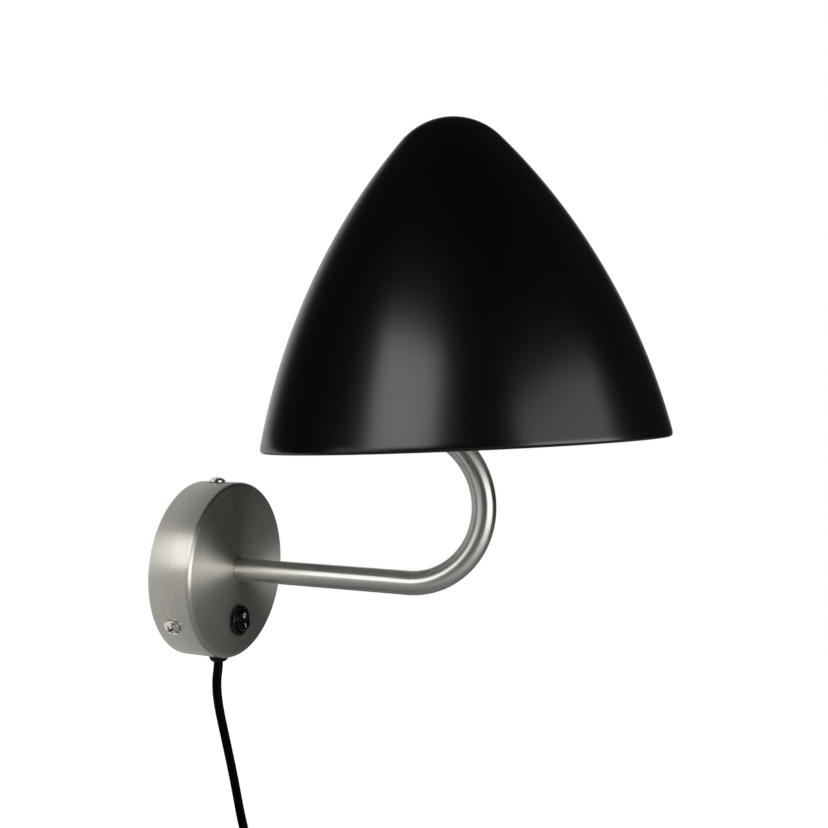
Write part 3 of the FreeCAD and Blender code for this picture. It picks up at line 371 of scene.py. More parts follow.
# Gloss that swings with the grain, and relief from its height
def addFinish(tree, shader, grain, look):
    rough = mathOf(tree, "MULTIPLY_ADD", grain["Spread"], look["roughSwing"], look["rough"])
    tree.links.new(rough, shader.inputs["Roughness"])
    bump = put(tree, "ShaderNodeBump", {"Strength": look["relief"], "Distance": look["depth"],
                                        "Height": grain["Height"]})
    tree.links.new(bump.outputs[0], shader.inputs["Normal"])


def addWear(tree, colour, look):
    wear = useGroup(tree, edgeWear, {"Width": look["edge"], "Strength": look["wear"]})
    return mixedColour(tree, wear["Mask"], colour, look["edgeColour"])


# Metal: scratches in tone, gloss and relief, with rubbed edges
def makeBrushed(name, look, vectorOf, **direction):
    material, tree, shader = newMaterial(name, {
        "Metallic": 1.0, "Anisotropic": look["stretch"], "Anisotropic Rotation": look["turn"]})
    grain = useGroup(tree, brushedGrain, {"Vector": vectorOf(tree), "Contrast": look["contrast"]})
    toned = mixedColour(tree, 1.0, look["colour"], grain["Tone"], "MULTIPLY")
    tree.links.new(addWear(tree, toned, look), shader.inputs["Base Color"])
    addFinish(tree, shader, grain, look)
    if direction:
        tangent = put(tree, "ShaderNodeTangent", **direction)
        tree.links.new(tangent.outputs[0], shader.inputs["Tangent"])
    return material


canopySteelLook = {
    "colour": (0.60, 0.58, 0.525, 1), "edgeColour": (0.78, 0.77, 0.75, 1), "contrast": 0.10,
    "rough": 0.42, "roughSwing": 0.25, "stretch": 0.85, "turn": 0.25, "relief": 0.25,
    "depth": 0.02 * mm, "edge": 0.5 * mm, "wear": 0.25,
    "scratch": 0.35 * mm, "scratchesRound": 5.0,
}
armSteelLook = {
    "colour": (0.61, 0.60, 0.56, 1), "edgeColour": (0.78, 0.77, 0.75, 1), "contrast": 0.06,
    "rough": 0.36, "roughSwing": 0.2, "stretch": 0.88, "turn": 0.0, "relief": 0.12,
    "depth": 0.01 * mm, "edge": 0.3 * mm, "wear": 0.2,
    "scratch": 0.25 * mm, "scratchLength": 9 * mm,
}


# Rings about the canopy's axis: radius and depth across, direction along
def ringScratches(tree):
    look = canopySteelLook
    x, y, z = put(tree, "ShaderNodeSeparateXYZ", {0: objectPlace(tree)}).outputs
    radius = mathOf(tree, "SQRT", mathOf(tree, "ADD", mathOf(tree, "MULTIPLY", x, x),
                                         mathOf(tree, "MULTIPLY", z, z)))
    across = mathOf(tree, "DIVIDE", mathOf(tree, "SUBTRACT", radius, y), look["scratch"])
    along = [mathOf(tree, "MULTIPLY", mathOf(tree, "DIVIDE", value, radius),
                    look["scratchesRound"]) for value in (x, z)]
    return put(tree, "ShaderNodeCombineXYZ", {0: along[0], 1: across, 2: along[1]}).outputs[0]


# U runs along the arm and V round it, in metres; the grinding marks go round
def armScratches(tree):
    look = armSteelLook
    place = put(tree, "ShaderNodeUVMap", uv_map="UVMap").outputs[0]
    size = (1 / look["scratch"], 1 / look["scratchLength"], 1)
    return vectorMath(tree, "MULTIPLY", place, size)["Vector"]


canopySteel = makeBrushed("canopySteel", canopySteelLook, ringScratches,
                          direction_type="RADIAL", axis="Y")
armSteel = makeBrushed("armSteel", armSteelLook, armScratches,
                       direction_type="UV_MAP", uv_map="UVMap")

# Metal without a direction. Each one below changes what it needs of this look.
platedLook = {
    "grain": 900.0, "stretch": 0.0, "turn": 0.0, "roughSwing": 0.5, "depth": 0.02 * mm,
    "edge": 0.3 * mm, "wear": 0.5,
}


def makePlated(name, changes):
    look = {**platedLook, **changes}

    def evenScratches(tree):
        return vectorMath(tree, "MULTIPLY", objectPlace(tree), (look["grain"],) * 3)["Vector"]
    return makeBrushed(name, look, evenScratches)


zincSteel = makePlated("zincSteel", {
    "colour": (0.56, 0.58, 0.60, 1), "edgeColour": (0.7, 0.71, 0.72, 1), "contrast": 0.08,
    "rough": 0.33, "roughSwing": 0.6, "relief": 0.15})
nickelPlate = makePlated("nickelPlate", {
    "colour": (0.82, 0.79, 0.72, 1), "edgeColour": (0.82, 0.8, 0.77, 1), "contrast": 0.04,
    "rough": 0.19, "relief": 0.05, "depth": 0.01 * mm, "edge": 0.2 * mm, "wear": 0.4,
    "grain": 1500.0})
# Dark nickel for the screws' cross recess: partly unpolished metal, partly painted shade for the
# shadow inside the recess
shadedRecessNickel = makePlated("shadedRecessNickel", {
    "colour": (0.13, 0.125, 0.115, 1), "edgeColour": (0.3, 0.29, 0.27, 1), "contrast": 0.12,
    "rough": 0.5, "relief": 0.1, "depth": 0.01 * mm, "edge": 0.1 * mm, "wear": 0.3,
    "grain": 1500.0})
brassMetal = makePlated("brassMetal", {
    "colour": (0.72, 0.52, 0.24, 1), "edgeColour": (0.85, 0.68, 0.4, 1), "contrast": 0.10,
    "rough": 0.27, "relief": 0.12})

# Paint, plastic, rubber and glaze: grain, clouds of gloss, dust on top and lighter edges.
# Each one below changes what it needs of this look.
coatedLook = {
    "specular": 0.5, "roughSwing": 0.05, "grain": 2400.0, "clouds": 60.0, "toneSwing": 0.1,
    "relief": 0.1, "depth": 0.02 * mm, "dust": 0.0, "dustSpecks": 700.0, "wear": 0.0,
    "edge": 0.4 * mm, "fixed": {},
}


def makeCoated(name, changes):
    look = {**coatedLook, **changes}
    values = {"Specular IOR Level": look["specular"], **look["fixed"]}
    material, tree, shader = newMaterial(name, values)
    grain = useGroup(tree, mouldGrain, {"Scale": look["grain"], "Clouds": look["clouds"]})
    tone = mathOf(tree, "MULTIPLY_ADD", grain["Tone"], look["toneSwing"], 1.0)
    colour = mixedColour(tree, 1.0, look["colour"], tone, "MULTIPLY")
    if look["wear"] > 0:
        colour = addWear(tree, colour, look)
    if look["dust"] > 0:
        dust = useGroup(tree, settledDust, {"Scale": look["dustSpecks"], "Amount": look["dust"]})
        colour = mixedColour(tree, dust["Mask"], colour, look["dustColour"])
    tree.links.new(colour, shader.inputs["Base Color"])
    addFinish(tree, shader, grain, look)
    return material


shadePaint = makeCoated("shadePaint", {
    "colour": (0.0004, 0.0005, 0.0007, 1), "rough": 0.25, "roughSwing": 0.012, "grain": 1500.0,
    "clouds": 16.0, "toneSwing": 0.12, "dust": 0.25, "dustColour": grey(0.1)})
shadeLacquer = makeCoated("shadeLacquer", {
    "colour": (0.80, 0.79, 0.76, 1), "rough": 0.42, "roughSwing": 0.03, "grain": 1500.0,
    "clouds": 20.0, "toneSwing": 0.015, "relief": 0.12})
switchPlastic = makeCoated("switchPlastic", {
    "colour": (0.002, 0.002, 0.0022, 1), "rough": 0.27, "specular": 0.25, "roughSwing": 0.03,
    "grain": 3500.0, "clouds": 90.0, "relief": 0.06, "depth": 0.01 * mm, "dust": 0.15,
    "dustColour": grey(0.06), "wear": 0.3, "edge": 0.3 * mm, "edgeColour": grey(0.012)})
holderPlastic = makeCoated("holderPlastic", {
    "colour": (0.016, 0.016, 0.017, 1), "rough": 0.38, "grain": 2600.0, "relief": 0.12,
    "dust": 0.2, "dustColour": grey(0.1), "wear": 0.5, "edgeColour": grey(0.06)})
flexSheath = makeCoated("flexSheath", {
    "colour": (0.0005, 0.0005, 0.0006, 1), "rough": 0.48, "specular": 0.05, "clouds": 50.0,
    "toneSwing": 0.12, "relief": 0.2, "dust": 0.15, "dustColour": grey(0.05)})
plugRubber = makeCoated("plugRubber", {
    "colour": (0.003, 0.003, 0.0032, 1), "rough": 0.46, "specular": 0.12, "grain": 2000.0,
    "clouds": 45.0, "relief": 0.25, "dust": 0.2, "dustColour": grey(0.06), "wear": 0.4,
    "edge": 0.5 * mm, "edgeColour": grey(0.015)})
blockPlastic = makeCoated("blockPlastic", {
    "colour": (0.76, 0.75, 0.70, 1), "rough": 0.45, "toneSwing": 0.03, "relief": 0.15,
    "wear": 0.3, "edgeColour": (0.9, 0.89, 0.85, 1)})
leadSheath = makeCoated("leadSheath", {
    "colour": (0.05, 0.13, 0.42, 1), "rough": 0.36, "roughSwing": 0.04, "grain": 2600.0,
    "toneSwing": 0.05})
opalGlass = makeCoated("opalGlass", {
    "colour": (0.86, 0.855, 0.83, 1), "rough": 0.14, "roughSwing": 0.03, "grain": 900.0,
    "clouds": 30.0, "toneSwing": 0.01, "relief": 0.02, "depth": 0.01 * mm, "dust": 0.1,
    "dustColour": grey(0.6),
    "fixed": {"Subsurface Weight": 0.35, "Subsurface Scale": 0.004, "Coat Weight": 0.6,
              "Coat Roughness": 0.05}})
markInk = makeCoated("markInk", {
    "colour": (0.46, 0.47, 0.46, 1), "rough": 0.4, "roughSwing": 0.04, "grain": 4000.0,
    "clouds": 200.0, "toneSwing": 0.06, "depth": 0.01 * mm})
print("materials ready:", len(bpy.data.materials))


# Mains flex: one flat twin lead from the bush, through the coil, to the plug
flex = {
    "width": 5.4 * mm,
    "thickness": 3.7 * mm,
    "exit": (0.0, -0.012, -0.0542),
    "length": 1.7585,
    "route": [
        (0.0, -0.012, -0.043),
        (0.0, -0.012, -0.056),
        (-0.0016, -0.0113, -0.0665),
        (-0.0005, -0.0119, -0.080),
        (0.0040, -0.0139, -0.1005),
        (0.0089, -0.0169, -0.1265),
        (0.0129, -0.0192, -0.151),
    ],
    "aboveCoil": -0.172,
    "belowCoil": -0.2135,
    "tail": [(0.014, -0.0096, -0.227), (0.014, -0.0096, -0.239)],
    "coilCentre": (-0.02095, -0.196),
    "coilRadius": 36.95 * mm,
    "coilFront": -0.023325,
    "pitch": 5.95 * mm,
    "turns": 8,
    "turnsPerLayer": 2,
    "climb": 0.5,
    "pointsPerTurn": 24,
    "resolution": 8,
    "sectionSteps": 10,
    "twistStart": 40,
    "twistMiddle": 85,
    "twistCoil": 0,
}


# A point on the coil: the turns go in and out by layers, and each layer lies behind the last
def coilPoint(turns):
    period = 2 * flex["turnsPerLayer"]
    phase = turns % period
    radius = flex["coilRadius"] - flex["pitch"] * min(phase, period - phase)
    layer = 0
    for reverse in range(flex["turnsPerLayer"], flex["turns"], flex["turnsPerLayer"]):
        layer = layer + min(max((turns - reverse) / flex["climb"] + 0.5, 0), 1)
    angle = -2 * math.pi * turns
    return Vector((flex["coilCentre"][0] + radius * math.cos(angle),
                   flex["coilFront"] + layer * flex["pitch"],
                   flex["coilCentre"][1] + radius * math.sin(angle)))


def flatSection():
    curve = bpy.data.curves.new("flexSection", "CURVE")
    curve.dimensions = "2D"
    flat = (flex["width"] - flex["thickness"]) / 2
    radius = flex["thickness"] / 2
    steps = flex["sectionSteps"]
    points = arc((flat, 0), radius, -90, 90, steps) + arc((-flat, 0), radius, 90, 270, steps)
    spline = curve.splines.new("POLY")
    spline.points.add(len(points) - 1)
    for target, point in zip(spline.points, points):
        target.co = (point[0], point[1], 0, 1)
    spline.use_cyclic_u = True
    section = addObject("flexSection", curve)
    section.hide_render = True
    section.hide_viewport = True
    return section


# Control points from the canopy to the coil, and then on to the plug
def flexPoints():
    first = coilPoint(0)
    last = coilPoint(flex["turns"])
    fall = [Vector(point) for point in flex["route"]]
    fall.append(Vector((first.x, first.y, flex["aboveCoil"])))
    fall.append(first + up * flex["width"])
    count = flex["turns"] * flex["pointsPerTurn"]
    rest = [coilPoint(step / flex["pointsPerTurn"]) for step in range(count + 1)]
    rest.append(last - up * flex["width"])
    rest.append(Vector((last.x, last.y, flex["belowCoil"])))
    rest.extend(Vector(point) for point in flex["tail"])
    return fall, rest


def makeFlex():
    fall, rest = flexPoints()
    points = fall + rest
    curve = bpy.data.curves.new("mainsFlex", "CURVE")
    curve.dimensions = "3D"
    curve.resolution_u = flex["resolution"]
    curve.twist_mode = "MINIMUM"
    curve.bevel_mode = "OBJECT"
    curve.bevel_object = flatSection()
    curve.use_fill_caps = True
    spline = curve.splines.new("NURBS")
    spline.points.add(len(points) - 1)
    for index, (target, point) in enumerate(zip(spline.points, points)):
        target.co = (point.x, point.y, point.z, 1)
        share = min(index / len(fall), 1)
        rise = math.sin(math.pi * share)
        twist = flex["twistStart"] * (1 - share) + flex["twistCoil"] * share
        target.tilt = math.radians(twist + (flex["twistMiddle"] - twist) * rise)
    spline.order_u = 3
    spline.use_endpoint_u = True
    curve.materials.append(flexSheath)
    piece = addObject("mainsFlex", curve)
    return mounted(piece, "lamp_base", "cord_black", "mains_cord", "cord_coil", "cord_tail")


mainsFlex = makeFlex()
print("flex laid")


# Shade: spun bell with a hem and a rolled bead at its rim, black outside and pale inside
shade = {
    "pivot": (0.0, -0.16014, 0.10154),
    "tilt": 3.0,
    "rimBelowPivot": 26.2 * mm,
    "rimRadius": 106.1 * mm,
    "height": 170.0 * mm,
    "sideRadius": 343.0 * mm,
    "crownRadius": 36.0 * mm,
    "wall": 0.8 * mm,
    "hem": 12.0 * mm,
    "bead": 1.5 * mm,
    "segments": 256,
    "sideSteps": 90,
    "crownSteps": 28,
    "hemSteps": 8,
    "beadSteps": 20,
}


def shadeMatrix():
    turn = turned(-shade["tilt"], "X")
    foot = Vector(shade["pivot"]) - turn.to_3x3() @ (up * shade["rimBelowPivot"])
    return moved(foot) @ turn


# Centres of the long arc of the side and the short arc of the crown, which touch
def shadeArcs():
    crownLevel = shade["height"] - shade["crownRadius"]
    long = shade["sideRadius"]
    short = long - shade["crownRadius"]
    span = math.hypot(shade["rimRadius"], crownLevel)
    forward = (long ** 2 - short ** 2 + span ** 2) / (2 * span)
    aside = math.sqrt(long ** 2 - forward ** 2)
    unitRadius = -shade["rimRadius"] / span
    unitLevel = crownLevel / span
    side = (shade["rimRadius"] + unitRadius * forward - unitLevel * aside,
            unitLevel * forward + unitRadius * aside)
    return side, (0, crownLevel)


# Down the outside, round the bead and up the inside, with the point where the inside starts
def shadeProfile():
    side, crown = shadeArcs()
    bead = shade["bead"]
    hem = shade["hem"]
    reach = shade["sideRadius"] - hem
    hemCentre = (side[0] + math.sqrt(reach ** 2 - (bead - side[1]) ** 2), bead)
    beadCentre = (hemCentre[0] + hem - bead, bead)
    leave = bearing(side, hemCentre)
    meet = bearing(side, crown)
    inner = shade["sideRadius"] - shade["wall"]
    span = math.hypot(beadCentre[0] - side[0], beadCentre[1] - side[1])
    forward = (inner ** 2 - bead ** 2 + span ** 2) / (2 * span)
    innerLeave = bearing(side, beadCentre) + math.degrees(math.acos(forward / inner))
    inside = arc(side, inner, innerLeave, meet, shade["sideSteps"])
    beadEnd = bearing(beadCentre, inside[0]) % 360 - 360
    outside = arc(crown, shade["crownRadius"], 90, meet, shade["crownSteps"])
    outside += arc(side, shade["sideRadius"], meet, leave, shade["sideSteps"])[1:]
    outside += arc(hemCentre, hem, leave, 0, shade["hemSteps"])[1:]
    outside += arc(beadCentre, bead, 0, beadEnd, shade["beadSteps"])[1:]
    inside += arc(crown, shade["crownRadius"] - shade["wall"], meet, 90, shade["crownSteps"])[1:]
    top = shade["height"]
    profile = [(0, top)] + outside[1:] + inside[1:-1] + [(0, top - shade["wall"])]
    return profile, len(outside) - 1


def makeShade():
    profile, turnOver = shadeProfile()
    piece = lathe("bellShade", profile, [shadePaint, shadeLacquer], shadeMatrix(),
                  shade["segments"], turnOver, 50)
    mounted(piece, "shade_head", "shade_black", "shade_shell")


makeShade()
print("shade made")


# Arm: ground steel tube, straight out and bent back up
arm = {
    "radius": 6.5 * mm,
    "bore": 5.05 * mm,
    "start": 25.8 * mm,
    "straight": 104.5 * mm,
    "bendRadius": 42.2 * mm,
    "bendAngle": 158.0,
    "edge": 0.3 * mm,
    "segments": 96,
    "straightSteps": 2,
    "bendSteps": 80,
}


def armHeading(turn):
    return Vector((0, -math.cos(turn), math.sin(turn)))


# Centre, turn and run at each station of the centre line
def armStations():
    bendAt = arm["start"] + arm["straight"]
    bend = arm["bendRadius"]
    stations = []
    for step in range(arm["straightSteps"] + 1):
        reach = arm["start"] + arm["straight"] * step / arm["straightSteps"]
        stations.append((out * reach, 0, reach))
    for step in range(1, arm["bendSteps"] + 1):
        turn = math.radians(arm["bendAngle"]) * step / arm["bendSteps"]
        centre = Vector((0, -bendAt - bend * math.sin(turn), bend * (1 - math.cos(turn))))
        stations.append((centre, turn, bendAt + bend * turn))
    return stations


# Rings of the tube with soft edges at its ends: along the outside, then back through the bore
def armRings():
    stations = armStations()
    startAt, startTurn, startRun = stations[0]
    endAt, endTurn, endRun = stations[-1]
    outer = arm["radius"]
    edge = arm["edge"]
    rings = [(startAt, startTurn, startRun, outer - edge),
             (startAt + armHeading(startTurn) * edge, startTurn, startRun + edge, outer)]
    rings += [station + (outer,) for station in stations[1:-1]]
    rings += [(endAt - armHeading(endTurn) * edge, endTurn, endRun - edge, outer),
              (endAt, endTurn, endRun, outer - edge)]
    rings += [station + (arm["bore"],) for station in reversed(stations)]
    return rings


def makeArm():
    bm = bmesh.new()
    uv = bm.loops.layers.uv.new("UVMap")
    rings = []
    runs = []
    for centre, turn, run, radius in armRings():
        upward = Vector((0, math.sin(turn), math.cos(turn)))
        spokes = circle(radius, arm["segments"])
        rings.append([bm.verts.new(centre + upward * x + sideways * y) for x, y in spokes])
        runs.append(run)
    rings.append(rings[0])
    runs.append(runs[0])
    girth = 2 * math.pi * arm["radius"] / arm["segments"]
    for index, row in enumerate(skin(bm, rings)):
        here, after = runs[index], runs[index + 1]
        for step, face in enumerate(row):
            places = ((here, step), (here, step + 1), (after, step + 1), (after, step))
            for loop, (run, turn) in zip(face.loops, places):
                loop[uv].uv = (run, turn * girth)
    piece = newPiece("armTube", bm, [armSteel], 50)
    mounted(piece, "lamp_base", "brushed_steel", "arm_tube")


makeArm()
print("arm made")


# Pan-head screws round the canopy
screw = {
    "angles": (90.0, 210.0, 330.0),
    "canopyRadius": 50.0 * mm,
    "fromWall": 10.8 * mm,
    "turned": 25.0,
    "gap": 0.05 * mm,
    "shank": 2.0 * mm,
    "length": 8.5 * mm,
    "tip": 1.4 * mm,
    "tipLength": 0.68 * mm,
    "head": 4.7 * mm,
    "height": 2.7 * mm,
    "edge": 0.9 * mm,
    "seat": 4.418 * mm,
    "seatEdge": 0.225 * mm,
    "crossFloor": (1.82 * mm, 0.92 * mm),
    "crossMouth": (3.38 * mm, 1.3225 * mm),
    "crossDepth": 1.5 * mm,
    "crossOver": 1.0 * mm,
    "domeSteps": 24,
}


def screwProfile():
    radius = screw["head"]
    bulge = screw["height"] - screw["edge"]
    crown = (radius ** 2 + bulge ** 2) / (2 * bulge)
    spread = math.degrees(math.asin(radius / crown))
    profile = [(0, -screw["length"]), (screw["tip"], -screw["length"]),
               (screw["shank"], screw["tipLength"] - screw["length"]), (screw["shank"], 0),
               (screw["seat"], 0), (radius, screw["seatEdge"])]
    dome = arc((0, screw["height"] - crown), crown, 90 - spread, 90, screw["domeSteps"])
    profile += dome[:-1]
    profile.append((0, screw["height"]))
    return profile


# Two crossed wedges, wider at the mouth than at the floor. The recess faces they cut take a dark
# nickel that is partly unpolished metal and partly painted shade of the recess.
def crossCutters():
    top = screw["height"]
    sections = []
    for level, (reach, width) in ((top - screw["crossDepth"], screw["crossFloor"]),
                                  (top + screw["crossOver"], screw["crossMouth"])):
        half = width / 2
        sections.append([(-reach, -half, level), (reach, -half, level), (reach, half, level),
                         (-reach, half, level)])
    return [loft("recess", sections, [shadedRecessNickel], turned(angle, "Z")) for angle in (0, 90)]


def makeScrew(name, angle):
    head = lathe(name, screwProfile(), [nickelPlate], sharpAngle=30)
    cutters = crossCutters()
    for cutter in cutters:
        cutWith(head, cutter)
    settle(head, cutters)
    turn = math.radians(angle)
    outward = Vector((math.cos(turn), 0, math.sin(turn)))
    place = outward * (screw["canopyRadius"] + screw["gap"]) + out * screw["fromWall"]
    head.data.transform(standing(place, outward) @ turned(screw["turned"], "Z"))
    return mounted(head, "lamp_base", "nickel")


screws = [makeScrew("canopyScrew%d" % index, angle)
          for index, angle in enumerate(screw["angles"])]
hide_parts("canopy_screws")
print("screws made")


# Round rocker switch
switch = {
    "place": (0.0, -0.0258, -0.0296),
    "bezel": 8.75 * mm,
    "height": 2.0 * mm,
    "round": 1.1 * mm,
    "foot": 0.2 * mm,
    "gap": 0.05 * mm,
    "mouth": 6.75 * mm,
    "innerRound": 0.35 * mm,
    "body": 7.4 * mm,
    "bodyEdge": 0.5 * mm,
    "depth": 11.0 * mm,
    "floor": 5.0 * mm,
    "segments": 128,
    "rimSteps": 12,
    "lipSteps": 6,
}
rocker = {
    "radius": 6.45 * mm,
    "pivot": 0.4 * mm,
    "surface": 3.35 * mm,
    "keel": 3.2 * mm,
    "throw": 18.0,
    "cutter": 1.1,
    "softEdge": 0.3 * mm,
    "pin": 0.8 * mm,
    "pinReach": 7.3 * mm,
    "pinSegments": 32,
    "around": 96,
    "over": 64,
}
marks = {
    "size": 2.8 * mm,
    "line": 0.6 * mm,
    "thickness": 0.1 * mm,
    "proud": 0.06 * mm,
    "ringAt": 3.1 * mm,
    "barAt": 2.6 * mm,
    "segments": 48,
    "tipSteps": 10,
}


def inSwitch():
    return moved(switch["place"]) @ turned(90, "X")


def makeSwitchBody():
    s = switch
    rim = (s["bezel"] - s["round"], s["height"] - s["round"])
    lip = (s["mouth"] + s["innerRound"], s["height"] - s["innerRound"])
    profile = [(0, -s["depth"]), (s["body"] - s["bodyEdge"], -s["depth"]),
               (s["body"], s["bodyEdge"] - s["depth"]), (s["body"], s["gap"]),
               (s["bezel"] - s["foot"], s["gap"]), (s["bezel"], s["gap"] + s["foot"])]
    profile += arc(rim, s["round"], 0, 90, s["rimSteps"])
    profile += arc(lip, s["innerRound"], 90, 180, s["lipSteps"])
    profile += [(s["mouth"], -s["floor"]), (0, -s["floor"])]
    place = standing(s["place"], out)
    piece = lathe("switchBody", profile, [switchPlastic], place, s["segments"])
    mounted(piece, "lamp_base", "switch_black", "switch_body")


# A ball about the pivot, cut to two faces that slope against each other, with its pins
def makeRocker():
    r = rocker
    bm = bmesh.new()
    bmesh.ops.create_uvsphere(bm, u_segments=r["around"], v_segments=r["over"],
                              radius=r["radius"], matrix=moved(up * r["pivot"]))
    ball = newPiece("switchRocker", bm, [switchPlastic])
    far = r["radius"] * r["cutter"]
    bottom = r["pivot"] - r["keel"]
    raised = r["surface"] + far * math.tan(math.radians(r["throw"]))
    side = [(far, bottom), (far, r["surface"]), (0, r["surface"]), (-far, raised), (-far, bottom)]
    wedge = loft("wedge", [[(x, y, z) for y, z in side] for x in (-far, far)], [switchPlastic])
    cutWith(ball, wedge, "INTERSECT")
    addBevel(ball, r["softEdge"], 3, 30)
    settle(ball, [wedge])
    pinLine = [(0, -r["pinReach"]), (r["pin"], -r["pinReach"]), (r["pin"], r["pinReach"]),
               (0, r["pinReach"])]
    pins = lathe("rockerPins", pinLine, [switchPlastic], standing(up * r["pivot"], sideways),
                 r["pinSegments"])
    bm = bmesh.new()
    bm.from_mesh(ball.data)
    bm.from_mesh(pins.data)
    bm.transform(inSwitch())
    bm.to_mesh(ball.data)
    bm.free()
    bpy.data.objects.remove(pins)
    mounted(ball, "rocker", "switch_black", "switch_rocker")


# Ring on the level half and bar on the sloping half
def makeMarks():
    m = marks
    lift = rocker["surface"] + m["proud"] - m["thickness"]
    outer = m["size"] / 2
    inner = outer - m["line"]
    ringLine = [(inner, 0), (outer, 0), (outer, m["thickness"]), (inner, m["thickness"])]
    place = inSwitch() @ moved((0, m["ringAt"], lift))
    ring = lathe("markOff", ringLine, [markInk], place, m["segments"])
    tip = arc((0, outer - m["line"] / 2), m["line"] / 2, 0, 180, m["tipSteps"])
    outline = tip + [(-x, -y) for x, y in tip]
    slope = turned(-rocker["throw"], "X")
    place = inSwitch() @ moved(up * lift) @ slope @ moved((0, -m["barAt"], 0))
    sections = [[(x, y, z) for x, y in outline] for z in (0, m["thickness"])]
    bar = loft("markOn", sections, [markInk], place)
    for mark in (ring, bar):
        mounted(mark, "rocker", "switch_black")


makeSwitchBody()
makeRocker()
makeMarks()
print("switch made")


# Bush under the canopy: a dome outside, a groove for the canopy's wall and a flange inside
bush = {
    "place": (0.0, -0.012, -0.050),
    "flange": 5.5 * mm,
    "neck": 4.3 * mm,
    "tip": 3.7 * mm,
    "height": 4.2 * mm,
    "shoulder": 1.6 * mm,
    "bore": 2.85 * mm,
    "innerTop": -1.55 * mm,
    "innerEnd": -3.35 * mm,
    "gap": 0.05 * mm,
    "corner": 0.35 * mm,
    "domeSteps": 12,
}


def makeBush():
    b = bush
    profile = [(b["bore"], b["innerEnd"]), (b["flange"] - b["corner"], b["innerEnd"]),
               (b["flange"], b["innerEnd"] + b["corner"]), (b["flange"], b["innerTop"]),
               (b["neck"], b["innerTop"]), (b["neck"], b["gap"]), (b["flange"], b["gap"])]
    for x, y in arc((0, 0), 1, 0, 90, b["domeSteps"]):
        profile.append((b["tip"] + (b["flange"] - b["tip"]) * x,
                        b["shoulder"] + (b["height"] - b["shoulder"]) * y))
    profile += [(b["bore"] + b["corner"], b["height"]), (b["bore"], b["height"] - b["corner"])]
    piece = lathe("cordBush", profile, [plugRubber], standing(b["place"], -up))
    mounted(piece, "lamp_base", "cord_black", "strain_relief")


makeBush()


# Flat two-pin plug
plug = {
    "place": (0.014, -0.0096, -0.236),
    "bore": 2.85 * mm,
    "relief": 13.0 * mm,
    "reliefRadius": 4.4 * mm,
    "reliefTip": 3.45 * mm,
    "ribs": 5,
    "ribLine": ((0.0, 0.25 * mm), (0.12, 0.0), (0.62, 0.0), (0.72, 0.7 * mm), (0.92, 0.7 * mm)),
    "reliefSegments": 64,
    "overlap": 1.0 * mm,
    "taper": 16.0 * mm,
    "taperSteps": 14,
    "front": 9.0 * mm,
    "frontEdge": ((0.0, -0.6 * mm), (0.2 * mm, -0.2 * mm), (0.8 * mm, 0.0)),
    "neckWidth": 14.0 * mm,
    "neckFlat": 8.4 * mm,
    "neckThickness": 10.0 * mm,
    "neckCorner": 2.4 * mm,
    "neckTop": {"width": 12.8 * mm, "flat": 7.7 * mm, "thickness": 8.8 * mm,
                "corner": 2.2 * mm, "rise": 0.25 * mm},
    "width": 35.3 * mm,
    "flat": 22.0 * mm,
    "thickness": 13.7 * mm,
    "corner": 1.6 * mm,
    "cornerSteps": 6,
}
pin = {
    "radius": 2.0 * mm,
    "shank": 1.9 * mm,
    "shankLength": 10.0 * mm,
    "length": 19.0 * mm,
    "tip": 1.0 * mm,
    "spacing": 19.0 * mm,
    "root": 1.6 * mm,
    "rootDepth": 5.95 * mm,
    "segments": 48,
    "tipSteps": 8,
}
plugTop = -plug["relief"]
plugWide = plugTop - plug["taper"]
plugFace = plugWide - plug["front"]


# Six-sided outline with rounded corners, the same number of points at every size
def roundedHex(width, flat, thickness, corner, level):
    corners = [Vector((-width / 2, 0)), Vector((-flat / 2, -thickness / 2)),
               Vector((flat / 2, -thickness / 2)), Vector((width / 2, 0)),
               Vector((flat / 2, thickness / 2)), Vector((-flat / 2, thickness / 2))]
    points = []
    for index, here in enumerate(corners):
        before = (corners[index - 1] - here).normalized()
        after = (corners[(index + 1) % len(corners)] - here).normalized()
        for step in range(plug["cornerSteps"] + 1):
            share = step / plug["cornerSteps"]
            spot = here + before * (corner * (1 - share) ** 2) + after * (corner * share ** 2)
            points.append((spot.x, spot.y, level))
    return points


def eased(start, end, share):
    return start + (end - start) * share * share * (3 - 2 * share)


def makePlugBody():
    p = plug
    sections = []
    for rise, inset in p["frontEdge"]:
        sections.append(roundedHex(p["width"] + 2 * inset, p["flat"] + inset,
                                   p["thickness"] + 2 * inset, p["corner"], plugFace + rise))
    for step in range(p["taperSteps"] + 1):
        share = step / p["taperSteps"]
        sections.append(roundedHex(eased(p["width"], p["neckWidth"], share),
                                   eased(p["flat"], p["neckFlat"], share),
                                   eased(p["thickness"], p["neckThickness"], share),
                                   eased(p["corner"], p["neckCorner"], share),
                                   plugWide + (plugTop - plugWide) * share))
    top = p["neckTop"]
    sections.append(roundedHex(top["width"], top["flat"], top["thickness"], top["corner"],
                               plugTop + top["rise"]))
    body = loft("plugBody", sections, [plugRubber], moved(p["place"]), 40)
    return mounted(body, "lamp_base", "cord_black", "plug_body")


# Ribbed sleeve where the flex enters the plug
def makePlugRelief():
    p = plug
    profile = [(p["bore"], 0)]
    for rib in range(p["ribs"]):
        for share, inset in p["ribLine"]:
            depth = (rib + share) * p["relief"] / p["ribs"]
            radius = p["reliefTip"] + (p["reliefRadius"] - p["reliefTip"]) * depth / p["relief"]
            profile.append((radius - inset, -depth))
    end = plugTop - p["overlap"]
    profile += [(p["reliefRadius"], plugTop), (p["reliefRadius"], end), (p["bore"], end)]
    relief = lathe("plugRelief", profile, [plugRubber], moved(p["place"]), p["reliefSegments"],
                   sharpAngle=40)
    return mounted(relief, "lamp_base", "cord_black")


